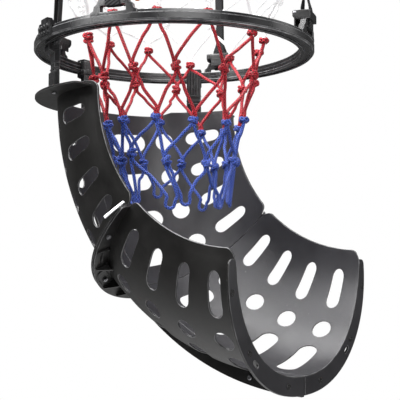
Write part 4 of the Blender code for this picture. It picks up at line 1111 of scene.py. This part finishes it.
def make_webbing(name, angle):
    bm = bmesh.new()
    along_mark, across_layer = bm.verts.layers.float.new("along"), bm.verts.layers.float.new("across")
    path, length = resampled(belt(strap_circles, strap_thick / 2, strap_steps), 0.004)
    side = round_way(angle)
    section = []
    for k in range(7):
        a = math.radians(-90 + 30 * k)
        section.append((strap_half - strap_thick / 2 + strap_thick / 2 * math.cos(a),
                        strap_thick / 2 * math.sin(a)))
    section += [(strap_half * (1 - 0.25 * k), strap_thick / 2) for k in range(1, 8)]
    section += [(-y, o) for y, o in section[6::-1]][0:7]
    section += [(-strap_half * (1 - 0.25 * k), -strap_thick / 2) for k in range(1, 8)]
    rows = []
    count = len(path)
    for i, (r, h) in enumerate(path):
        before, after = path[i - 1], path[(i + 1) % count]
        ahead = Vector((after[0] - before[0], after[1] - before[1])).normalized()
        drawn = gathering(h)
        between = strap_foot + (tube_centre - strap_foot) * (h - ring_height) / (tube_over_ring - ring_height)
        r = between + (r - between) * (1 - 0.45 * drawn)
        row = []
        for y, o in section:
            vert = bm.verts.new(ring_spot(angle, r + ahead.y * o,
                                          h - ahead.x * o) + side * y * (1 - 0.42 * drawn))
            vert[along_mark] = length * min(i, count - i) / count
            vert[across_layer] = y
            row.append(vert)
        rows.append(row)
    join_rows(bm, rows + rows[:1], False)
    finish_piece(name.replace("strap", "webbing"), bm, "hoop", webbing, [name], sharp=60)


for k in range(4):
    make_webbing(f"strap_{k + 1}", lug_turn + math.tau * k / 4)

# ---------------------------------------------------------------------------------------------
# Cam buckles: a painted frame of two cheeks and two cross bars round the strap, a zinc pin, and
# a ribbed lever on the pin that folds down inside the ring.
# ---------------------------------------------------------------------------------------------
black_paint = hard_finish("black_painted_metal", (0.005, 0.005, 0.0055), (0.014, 0.014, 0.015),
                          (0.30, 0.30, 0.31), (0.30, 0.46), metallic=0.0, mottle_scale=30.0,
                          grain_scale=1200.0, grain_depth=0.00003, scuffs=0.7)
zinc_plate = hard_finish("zinc_plate", (0.20, 0.20, 0.21), (0.36, 0.36, 0.38), (0.65, 0.65, 0.66),
                         (0.24, 0.40), metallic=1.0, mottle_scale=60.0, grain_scale=1500.0,
                         grain_depth=0.00002, scuffs=0.3)
buckle_low = ring_height + 0.0225
buckle_high = buckle_low + 0.016
window_in, window_out = lug_inner - 0.00565, lug_outer + 0.00235
frame_in, frame_out = window_in - 0.0104, window_out + 0.0028
pin_radius = 0.002
hub_radius = pin_radius + 0.0018
pin_spot = (window_in - 0.0015 - 0.0006 - hub_radius, buckle_high - hub_radius)
mouth_half = strap_half + 0.001
frame_half = 0.023


def join_turned(bm, rows, steps):
    """Joins rows of points round an axis, where a row of one point closes an end."""
    for near, far in zip(rows, rows[1:]):
        for i in range(steps):
            j = (i + 1) % steps
            corners = [near[i % len(near)], near[j % len(near)], far[j % len(far)], far[i % len(far)]]
            bm.faces.new(list(dict.fromkeys(corners)))


def turned_rod(bm, angle, r, h, profile, steps=20):
    """A turned part lying across the strap: (across, radius) profile about a line at (r, h)."""
    side = round_way(angle)
    rows = []
    for y, size in profile:
        if size == 0.0:
            rows.append([bm.verts.new(ring_spot(angle, r, h) + side * y)])
            continue
        rows.append([bm.verts.new(ring_spot(angle, r + size * math.cos(math.tau * i / steps),
                                            h + size * math.sin(math.tau * i / steps)) + side * y)
                     for i in range(steps)])
    join_turned(bm, rows, steps)


for k in range(4):
    angle = lug_turn + math.tau * k / 4
    side = round_way(angle)

    def across_strap(y_from, angle=angle, side=side):
        return lambda p, depth: ring_spot(angle, p.x, p.y) + side * (y_from - depth)

    bm = bmesh.new()
    cheek = [(frame_in + 0.0004, buckle_low + 0.0058), (frame_in + 0.0040, buckle_low + 0.0008),
             (frame_out, buckle_low), (frame_out, buckle_high - 0.0010), (frame_in + 0.0002, buckle_high)]
    cheek_outline = rounded_polygon(cheek, [0.0015, 0.0022, 0.0010, 0.0020, 0.0028], 0.004, 5)
    for y_from, thick in ((frame_half, 0.0092), (-mouth_half - 0.0003, 0.0092)):
        eye = stadium_hole(pin_spot, 2 * pin_radius + 0.0003, 2 * pin_radius + 0.0003, 0.0, 10)
        pierced_sheet(bm, cheek_outline, [eye], across_strap(y_from), thick, 0.0005, 0.004)
    for low_r, high_r, low_h, high_h in ((window_out, frame_out, buckle_low, buckle_high - 0.0010),
                                         (window_in - 0.0015, window_in, buckle_low, buckle_low + 0.006)):
        bar = rounded_polygon([(low_r, low_h), (high_r, low_h), (high_r, high_h), (low_r, high_h)],
                              [0.0006] * 4, 0.004, 3)
        pierced_sheet(bm, bar, [], across_strap(mouth_half + 0.004), 2 * mouth_half + 0.008, 0.0005, 0.004)
    finish_piece(f"buckle_{k + 1}_frame", bm, "hoop", black_paint, [f"buckle_frame_{k + 1}"])

    bm = bmesh.new()
    end = frame_half + 0.0002
    turned_rod(bm, angle, *pin_spot,
               [(-end, 0.0), (-end, 0.0024), (-end + 0.0004, 0.0029), (-end + 0.0014, 0.0029),
                (-end + 0.0016, pin_radius), (end - 0.0016, pin_radius), (end - 0.0014, 0.0029),
                (end - 0.0004, 0.0029), (end, 0.0024), (end, 0.0)])
    finish_piece(f"buckle_{k + 1}_pin", bm, "hoop", zinc_plate, [f"buckle_pin_{k + 1}"])

    bm = bmesh.new()
    thumb = mouth_half - 0.0005
    r, h = pin_spot
    arc = [(r + hub_radius * math.cos(math.radians(a)), h + hub_radius * math.sin(math.radians(a)))
           for a in range(-60, 190, 15)]
    blade = [(r - hub_radius, h - 0.0215), (r - hub_radius + 0.0008, h - 0.0220),
             (r - hub_radius + 0.0020, h - 0.0220), (r - hub_radius + 0.0030, h - hub_radius * 1.2)]
    lever_outline = rounded_polygon(arc + blade, [0.0] * len(arc) + [0.0, 0.0, 0.0, 0.0], 0.004, 3)
    eye = stadium_hole(pin_spot, 2 * pin_radius + 0.0004, 2 * pin_radius + 0.0004, 0.0, 10)
    pierced_sheet(bm, lever_outline, [eye], across_strap(thumb), 2 * thumb, 0.0003, 0.003)
    for rib in range(5):
        turned_rod(bm, angle, r - hub_radius + 0.0002, h - 0.0085 - 0.0027 * rib,
                   [(-thumb + 0.0015, 0.0), (-thumb + 0.0015, 0.0005), (-thumb + 0.002, 0.0008),
                    (thumb - 0.002, 0.0008), (thumb - 0.0015, 0.0005), (thumb - 0.0015, 0.0)], 10)
    finish_piece(f"buckle_{k + 1}_lever", bm, f"lever_{k + 1}", black_paint,
                 [f"buckle_lever_{k + 1}"])

# ---------------------------------------------------------------------------------------------
# Carriages: three plastic hangers that hook over the ring's inner wall and run round its groove
# on white acetal pads. Each ends in a foot screwed to the chute's top flange. The middle one is
# built up of a faceted block, a collar, a second block and a stem.
# ---------------------------------------------------------------------------------------------
chute_turn = math.radians(28)
pad_white = hard_finish("white_acetal", (0.62, 0.62, 0.60), (0.78, 0.78, 0.76), (0.85, 0.85, 0.84),
                        (0.28, 0.40), mottle_scale=30.0, grain_scale=1500.0, grain_depth=0.00002, scuffs=0.1)
carriage_half = 0.014
carriage_wall = ring_inner - 0.001
carriage_back = carriage_wall - 0.010
ring_to_chute = 0.076
foot_low = -ring_to_chute + 0.0003
groove_inner = 0.230


def make_carriage(name, turn):
    angle = math.pi / 2 + chute_turn + turn
    side = round_way(angle)

    def across(y_from):
        return lambda p, depth: ring_spot(angle, p.x, p.y) + side * (y_from - depth)

    def upright(low):
        return lambda p, depth: ring_spot(angle, p.x, low + depth) + side * p.y

    def block(inner, outer, half, cut, low, high, soften=0.0006):
        """An upright block with its two inner corners cut off."""
        plan = [(inner + cut, -half), (outer, -half), (outer, half), (inner + cut, half), (inner, half - cut),
                (inner, cut - half)]
        pierced_sheet(bm, rounded_polygon(plan, [0.0] * 6, 0.006), [], upright(low), high - low, soften,
                      0.006)

    bm = bmesh.new()
    hook = [(carriage_back + 0.001, foot_low + 0.004), (carriage_wall - 0.001, foot_low + 0.004),
            (carriage_wall, -0.0150), (carriage_back + 0.0200, -0.0105), (carriage_back + 0.0200, -0.0012),
            (carriage_wall, -0.0011), (carriage_wall, 0.0207), (groove_inner + 0.0012, 0.0207),
            (groove_inner + 0.0012, 0.0142), (groove_inner + 0.0038, 0.0142), (groove_inner + 0.0038, 0.0232),
            (carriage_back + 0.001, 0.0238)]
    outline = rounded_polygon(hook,
                              [0.001, 0.001, 0.002, 0.0015, 0.001, 0.0004, 0.0004, 0.0005, 0.0005, 0.0006,
                               0.0012, 0.002], 0.006, 3)
    pierced_sheet(bm, outline, [], across(carriage_half), 2 * carriage_half, 0.0004, 0.006)
    if name == "middle":
        block(carriage_back - 0.0035, carriage_wall, carriage_half + 0.0008, 0.005, 0.0030, 0.0190)
        block(carriage_back - 0.0050, carriage_wall, carriage_half + 0.0015, 0.006, -0.0058, 0.0022)
        block(carriage_back - 0.0035, carriage_wall, carriage_half, 0.005, -0.0280, -0.0066)
        block(carriage_back - 0.0040, carriage_wall + 0.001, carriage_half + 0.0004, 0.005, -0.0305, -0.0288,
              0.0003)
        stem = []
        for i in range(24):
            a = math.tau * i / 24
            stem.append((carriage_back + 0.0045 + 0.0085 * math.cos(a),
                         (carriage_half - 0.0005) * math.sin(a)))
        pierced_sheet(bm, rounded_polygon(stem, [0.0] * 24, 1.0), [], upright(foot_low), -0.0300 - foot_low,
                      0.0006, 0.006)
        block(carriage_back - 0.0020, carriage_back + 0.0130, carriage_half, 0.002, foot_low,
              foot_low + 0.004)
    else:
        block(carriage_back, carriage_back + 0.0130, carriage_half, 0.003, foot_low, foot_low + 0.0285)
        for low, high in ((-0.0330, -0.0302), (-0.0430, -0.0402)):
            block(carriage_back - 0.0008, carriage_wall + 0.0006, carriage_half + 0.0006, 0.003, low, high,
                  0.0005)
        for rib in (-0.0085, -0.0028, 0.0028, 0.0085):
            closed = [(carriage_back - 0.0014, -0.0290), (carriage_back + 0.001, -0.0290),
                      (carriage_back + 0.001, 0.0200), (carriage_back - 0.0014, 0.0170)]
            pierced_sheet(bm, rounded_polygon(closed, [0.0008] * 4, 0.006, 3), [], across(rib + 0.0011),
                          0.0022, 0.0004, 0.006)
    finish_piece(f"carriage_{name}_hanger", bm, "chute", black_ring, [f"carriage_{name}"])

    bm = bmesh.new()
    span = 0.9 * carriage_half / ring_inner
    swept_round(bm, softened([(ring_inner + 0.0002, 0.0183), (groove_inner, 0.0183), (groove_inner, 0.0203),
                              (ring_inner + 0.0002, 0.0203)], 0.0004), angle - span, 2 * span, 8)
    finish_piece(f"glide_{name}_pad", bm, "chute", pad_white, [f"glide_pad_{name}"])


for name, turn in (("left", math.radians(61)), ("middle", 0.0), ("right", math.radians(-61))):
    make_carriage(name, turn)

# ---------------------------------------------------------------------------------------------
# Chute: four mouldings of black plastic, a left and a right half for each of two bent modules.
# Each is a 3 mm wall pierced by slots and holes, with a flange at each end and a keel along the
# floor; small webs stiffen the flanges. The flat pattern is pierced, then laid on the bent U.
# ---------------------------------------------------------------------------------------------
chute_place = Matrix.Translation(hoop_axis) @ Matrix.Rotation(chute_turn, 4, "Z")
chute_top = ring_low - ring_to_chute
chute_back = 0.206
chute_half_width = 0.187
chute_depth = 0.200
chute_squareness = 2.26
chute_wall = 0.003
bend_radius = 0.472
module_angle = math.radians(45)
module_length = bend_radius * module_angle
module_gap = 0.0008
seam_gap = 0.00015
flange_thickness = 0.005
keel_thickness = 0.0035
keel_reach = 0.034
bolt_line = 0.0156
corner_radius = 0.026
hole_pitch = math.radians(10.2)

turns = np.linspace(0.0, math.pi / 2, 1201)
section_across = chute_half_width * np.sin(turns) ** (2 / chute_squareness)
section_up = chute_depth - chute_depth * np.cos(turns) ** (2 / chute_squareness)
section_arc = np.concatenate([[0.0], np.cumsum(np.hypot(np.diff(section_across), np.diff(section_up)))])
slope = chute_squareness - 1
normal_across = (section_across / chute_half_width) ** slope / chute_half_width
normal_down = ((chute_depth - section_up) / chute_depth) ** slope / chute_depth
size = np.hypot(normal_across, normal_down)
section_table = [section_across, section_up, normal_across / size, normal_down / size]
chute_edge = section_arc[-1]


def chute_spot(arc, down, offset=0.0, start=0.0, shift=0.0):
    """A point on the chute: arc length from the floor's middle, length down the bend, and outward offset."""
    across, up, way_across, way_down = (float(np.interp(abs(arc), section_arc, t)) for t in section_table)
    across = math.copysign(across + offset * way_across, arc)
    up -= offset * way_down
    bend = start + down / bend_radius
    radius = bend_radius - up
    spot = Vector((across, chute_back - bend_radius + radius * math.cos(bend) - shift * math.sin(bend),
                   chute_top - radius * math.sin(bend) - shift * math.cos(bend)))
    return chute_place @ spot


def closed_block(bm, near, far):
    """Adds a block between two matching loops of places."""
    join_rows(bm, [[bm.verts.new(place) for place in loop] for loop in (near, far)])


# Its front colour is a painted reflection on the inner skin and on the mouth's flange face
black_moulding = hard_finish("black_moulded_plastic", (0.0045, 0.0042, 0.0040), (0.0125, 0.0120, 0.0115),
                             (0.24, 0.24, 0.25), (0.30, 0.50), mottle_scale=11.0, grain_scale=1500.0,
                             grain_depth=0.00006, scuffs=0.6, painted_reflection_colour=(0.036, 0.035, 0.040), wave=0.0009)

wall_slot_width = 0.0285
round_hole_width = 0.0344
floor_slot_width = 0.0325
floor_slot_lengths = (0.072, 0.076, 0.082, 0.096)
hole_stretch = bend_radius / (bend_radius - chute_depth / 4)


def stretched_hole(centre, length, width):
    return [(Vector((p.x, centre[1] + (p.y - centre[1]) * hole_stretch)), into)
            for p, into in stadium_hole(centre, length, width, 0.0, 9, 0.005)]


def end_sheet(bm, side, widest, narrowing, at, away, start, shift, holes, front=0.0, seam=seam_gap):
    """One flange as a pierced sheet across the end of a module; away is the way along the bend into it."""
    end = chute_edge - 0.016
    corners = [(seam, 0.0014)]
    arcs = np.linspace(0.0, 1.0, 15)
    corners += [(seam + (end - seam) * a, 0.0014) for a in arcs[1:]]
    corners += [(seam + (end - seam) * a, widest * (1 - narrowing * a ** 4)) for a in arcs[::-1]]
    radii = [0.0] * len(corners)
    radii[14], radii[15] = 0.002, 0.009
    outline = rounded_polygon(corners, radii, 0.006, 5)
    pierced_sheet(bm, outline, holes, lambda p, depth: chute_spot(
        side * p.x, at + away * depth, p.y, start, shift), flange_thickness - 0.0003, 0.0007, 0.009, front)


def chute_half(side, start, shift, top_reach, top_narrowing, end_reach, end_holes, upstand):
    """All the plastic of one half module, with an upstand of the wall above the top flange's free end."""
    bm = bmesh.new()
    corners = [(seam_gap, 0.0002)]
    radii = [0.0]
    if upstand:
        corners += [(0.150, 0.0002), (0.176, 0.0002 - upstand)]
        radii += [0.012, 0.012]
    corners += [(chute_edge, 0.0002 - upstand), (chute_edge, module_length - 0.0002),
                (seam_gap, module_length - 0.0002)]
    radii += [corner_radius, corner_radius, 0.0]
    outline = rounded_polygon(corners, radii, 0.006, 8)
    holes = []
    for row, length in enumerate(floor_slot_lengths):
        down = module_length / 2 + (row - 1.5) * hole_pitch * bend_radius
        holes.append(stretched_hole((0.2395, down), 0.072, wall_slot_width))
        holes.append(stretched_hole((0.160, down), round_hole_width, round_hole_width))
        holes.append(stretched_hole((0.121 - length / 2, down), length, floor_slot_width))

    def on_wall(point, depth):
        lip = min(1.0, max(0.0, (point.x - chute_edge + 0.0065) / 0.002))
        return chute_spot(side * point.x, point.y, depth * (1 + 0.55 * lip), start, shift)

    # The inner skin is marked as the front, so it carries the painted reflection
    pierced_sheet(bm, outline, holes, on_wall, chute_wall, 0.0010, 0.0075, 1.0)
    at_mouth = bool(start)
    end_sheet(bm, side, top_reach, top_narrowing, 0.0001, 1, start, shift, [])
    # The mouth's flange face carries part of the painted reflection
    end_sheet(bm, side, end_reach, 0.45, module_length - 0.0001, -1, start, shift, end_holes,
              0.7 if at_mouth else 0.0, 0.0006 if at_mouth else seam_gap)
    # Keel along the floor, in short lengths that follow the bend
    steps = 24
    rows = []
    near_arc = seam_gap + 0.0001
    for i in range(steps + 1):
        down = flange_thickness * 0.8 + (module_length - flange_thickness * 1.6) * i / steps
        rows.append([bm.verts.new(chute_spot(side * arc, down, offset, start, shift)) for arc, offset in (
            (near_arc, 0.0015), (near_arc, 0.0336), (near_arc + 0.0004, keel_reach),
            (keel_thickness - 0.0004, keel_reach), (keel_thickness, 0.0336), (keel_thickness, 0.0015))])
    join_rows(bm, rows)
    # Webs between the wall and each flange; the top flange has none
    webs = [(module_length, -1, end_reach, arc) for arc in (0.055, 0.095, 0.190, 0.265)]
    if at_mouth:
        webs += [(0.0, 1, top_reach, arc) for arc in (0.060, 0.105, 0.163)]
    for at, away, reach, arc in webs:
        rise = reach * (1 - 0.45 * (arc / chute_edge) ** 4) - 0.004
        near, far = ([chute_spot(side * (arc + half), at + away * d, o, start, shift) for d, o in (
            (0.0035, 0.002), (0.0240, 0.002), (0.0230, 0.0040), (0.0075, rise), (0.0035, rise))]
            for half in (-0.0013, 0.0013))
        closed_block(bm, near, far)
    if at_mouth:
        # A T of low ribs on the flange below the joint, and a bar that stiffens the wall beside it
        face = flange_thickness - 0.0006
        for low_arc, high_arc, low_o, high_o in ((0.2015, 0.2045, 0.003, 0.0262),
                                                 (0.1780, 0.2020, 0.0145, 0.0172)):
            near, far = ([chute_spot(side * a, face + d, o, start, shift) for a, o in (
                (low_arc, low_o), (high_arc, low_o), (high_arc, high_o), (low_arc, high_o))]
                for d in (0.0, 0.0042))
            closed_block(bm, near, far)
    return bm


mouth_holes = [stadium_hole((0.137, 0.0165), 0.0140, 0.0070)]
joint_holes = [stadium_hole((arc, bolt_line), 0.005, 0.005) for arc in (0.030, 0.125, 0.235)]
for module, start, shift, reaches, upstand, end_holes in (
    ("upper", 0.0, 0.0, (0.043, 0.12, 0.031), 0.0105, joint_holes),
    ("lower", module_angle, module_gap, (0.031, 0.45, 0.031), 0.0, mouth_holes),
):
    for side_name, side in (("left", -1), ("right", 1)):
        bm = chute_half(side, start, shift, *reaches, end_holes, upstand)
        finish_piece(f"{module}_{side_name}_moulding", bm, "chute", black_moulding,
                     [f"{module}_chute_{side_name}"], sharp=35)

# Moulded rings on the mouth's flange and an arched rib on the joint's flange
bosses = []
for side in (-1, 1):
    for arc in (0.046, 0.158, 0.250):
        for size in (0.0018, 0.0044):
            bosses.append([chute_spot(side * (arc + size * math.cos(math.tau * i / 20)),
                                      module_length + 0.0001, 0.0160 + size * math.sin(math.tau * i / 20),
                                      module_angle, module_gap)
                           for i in range(20)])
wire_piece(bosses, 0.0009, 8, black_moulding, "mouth_bosses", "chute", cyclic=True)
arches = []
for side in (-1, 1):
    shape = [(0.118, 0.0255), (0.134, 0.0265), (0.146, 0.0240), (0.151, 0.0175), (0.149, 0.0110),
             (0.140, 0.0080), (0.128, 0.0078)]
    arches.append(smooth_run([chute_spot(side * arc, flange_thickness + 0.0004, offset, module_angle,
                                         module_gap)
                              for arc, offset in shape], 5))
wire_piece(arches, 0.0014, 8, black_moulding, "flange_arches", "chute")

# ---------------------------------------------------------------------------------------------
# Fasteners: zinc-plated socket bolts and hexagon nuts clamp the modules' flanges and the keel,
# longer screws go up through the top flange into the hangers, and spring clips grip the joint.
# ---------------------------------------------------------------------------------------------
bolt_radius = 0.0022
head_radius = 0.0045
head_height = 0.003
part_gap = 0.0003


def turned_part(name, rows, steps=24):
    """A part turned on Z from (radius, height, six-sided) rows."""
    bm = bmesh.new()
    made = []
    for radius, z, six_sided in rows:
        ring = []
        for i in range(steps if radius else 1):
            a = math.tau * i / steps
            flat = math.cos(math.pi / 6) / math.cos(a % (math.pi / 3) - math.pi / 6) if six_sided else 1.0
            ring.append(bm.verts.new((radius * flat * math.cos(a), radius * flat * math.sin(a), z)))
        made.append(ring)
    join_turned(bm, made, steps)
    bmesh.ops.recalc_face_normals(bm, faces=bm.faces)
    mesh = bpy.data.meshes.new(name)
    bm.to_mesh(mesh)
    bm.free()
    mesh.shade_smooth()
    mesh.set_sharp_from_angle(angle=math.radians(35))
    return new_object(name, mesh)


def head_rows(top):
    """A pan head with a six-sided socket, from the middle of its face to its seat, which lies at top."""
    face = top - head_height
    return [(0.0, face + 0.0013, False), (0.0014, face + 0.0013, True), (0.0014, face + 0.0001, True),
            (0.0018, face, False), (0.0034, face, False), (0.0042, face + 0.0005, False),
            (head_radius, face + 0.0012, False), (head_radius, top, False), (bolt_radius, top, False)]


def bolt_part(name, grip):
    nut = grip + part_gap
    rows = head_rows(-part_gap) + [
        (bolt_radius, nut, False), (head_radius - 0.0004, nut, True), (head_radius, nut + 0.0003, True),
        (head_radius, nut + head_height - 0.0003, True), (head_radius - 0.0004, nut + head_height, True),
        (bolt_radius, nut + head_height, False), (bolt_radius - 0.0003, nut + head_height + 0.0006, False),
        (0.0, nut + head_height + 0.0006, False)]
    return turned_part(name, rows)


# Sets a part at each point, turned along the point's own "aim"
parts_tree, parts_sockets = new_tree("placed_parts", (("Part", "Object"),))
(parts_in, parts_out, parts_info, parts_aim, parts_turn, parts_set, parts_real, parts_finish) = new_nodes(
    parts_tree, "NodeGroupInput", "NodeGroupOutput", "GeometryNodeObjectInfo",
    "GeometryNodeInputNamedAttribute", "FunctionNodeAlignRotationToVector", "GeometryNodeInstanceOnPoints",
    "GeometryNodeRealizeInstances", "GeometryNodeSetMaterial")
parts_aim.data_type = "FLOAT_VECTOR"
parts_aim.inputs["Name"].default_value = "aim"
parts_turn.axis = "Z"
link_all(parts_tree, (
    (parts_in.outputs["Geometry"], parts_set.inputs["Points"]),
    (parts_in.outputs["Part"], parts_info.inputs["Object"]),
    (parts_info.outputs["Geometry"], parts_set.inputs["Instance"]),
    (parts_aim.outputs["Attribute"], parts_turn.inputs["Vector"]),
    (parts_turn.outputs["Rotation"], parts_set.inputs["Rotation"]),
    (parts_set.outputs["Instances"], parts_real.inputs["Geometry"]),
    (parts_real.outputs["Geometry"], parts_finish.inputs["Geometry"]),
    (parts_in.outputs["Finish"], parts_finish.inputs["Material"]),
    (parts_finish.outputs["Geometry"], parts_out.inputs["Geometry"]),
))


def place_parts(name, part, places, aims, replaced):
    """Sets a part at some places, each with its own way to point, as one piece of the chute."""
    mesh = bpy.data.meshes.new(name)
    mesh.from_pydata([tuple(p) for p in places], [], [])
    aim = mesh.attributes.new("aim", "FLOAT_VECTOR", "POINT")
    for entry, way in zip(aim.data, aims):
        entry.vector = way
    source = new_object(name + "_places", mesh)
    baked_piece(source, parts_tree, parts_sockets, {"Part": part, "Finish": zinc_plate}, name, "chute",
                replaced, sharp=35)
    bpy.data.objects.remove(part)


joint_way = chute_place.to_3x3() @ Vector((0.0, -math.sin(module_angle), -math.cos(module_angle)))
joint_arcs = (-0.235, -0.125, -0.030, 0.030, 0.125, 0.235)
joint_heads = [chute_spot(arc, module_length, bolt_line, 0.0, -flange_thickness) for arc in joint_arcs]
place_parts("joint_bolts", bolt_part("joint_bolt_part", 2 * flange_thickness + module_gap), joint_heads,
            [joint_way] * 6, [f"joint_bolt_{k}" for k in range(1, 7)])

keel_way = chute_place.to_3x3() @ Vector((1.0, 0.0, 0.0))
keel_heads = []
for start, shift in ((0.0, 0.0), (module_angle, module_gap)):
    for turn in (12, 33):
        middle_spot = chute_spot(0.0, math.radians(turn) * bend_radius, 0.62 * keel_reach, start, shift)
        keel_heads.append(middle_spot - keel_way * keel_thickness)
place_parts("keel_bolts", bolt_part("keel_bolt_part", 2 * keel_thickness), keel_heads, [keel_way] * 4,
            [f"keel_bolt_{k}" for k in range(1, 5)])

screw_low = -ring_to_chute - flange_thickness - part_gap
screw_rows = head_rows(0.0) + [(bolt_radius, 0.0205, False), (0.0, 0.0218, False)]
screw_radius = carriage_back + 0.0130 / 2
screw_places, screw_nodes = [], []
for name, turn in (("left", 61), ("middle", 0), ("right", -61)):
    angle = math.pi / 2 + chute_turn + math.radians(turn)
    side = round_way(angle)
    for number, offset in enumerate((-0.009, 0.009) if name == "middle" else (0.0,), 1):
        screw_places.append(ring_spot(angle, screw_radius, screw_low) + side * offset)
        screw_nodes.append(f"carriage_screw_{name}" + (f"_{number}" if name == "middle" else ""))
place_parts("carriage_screws", turned_part("carriage_screw_part", screw_rows), screw_places,
            [Vector((0.0, 0.0, 1.0))] * 4, screw_nodes)

clip_runs = []
for side in (-1, 1):
    for down in (-0.0068, -0.0108):
        clip_runs.append([chute_spot(side * (0.266 + 0.032 * t), down, 0.032 - 0.020 * t, module_angle,
                                     module_gap)
                          for t in np.linspace(0.0, 1.0, 8)])
clip_zinc = hard_finish("bright_zinc", (0.55, 0.55, 0.57), (0.72, 0.72, 0.74), (0.9, 0.9, 0.9), (0.25, 0.35),
                        metallic=1.0)
wire_piece(clip_runs, 0.0014, 10, clip_zinc, "joint_clips", "chute")

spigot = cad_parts["ring_spigot"]
for material_slot in spigot.material_slots:
    material_slot.material = zinc_plate
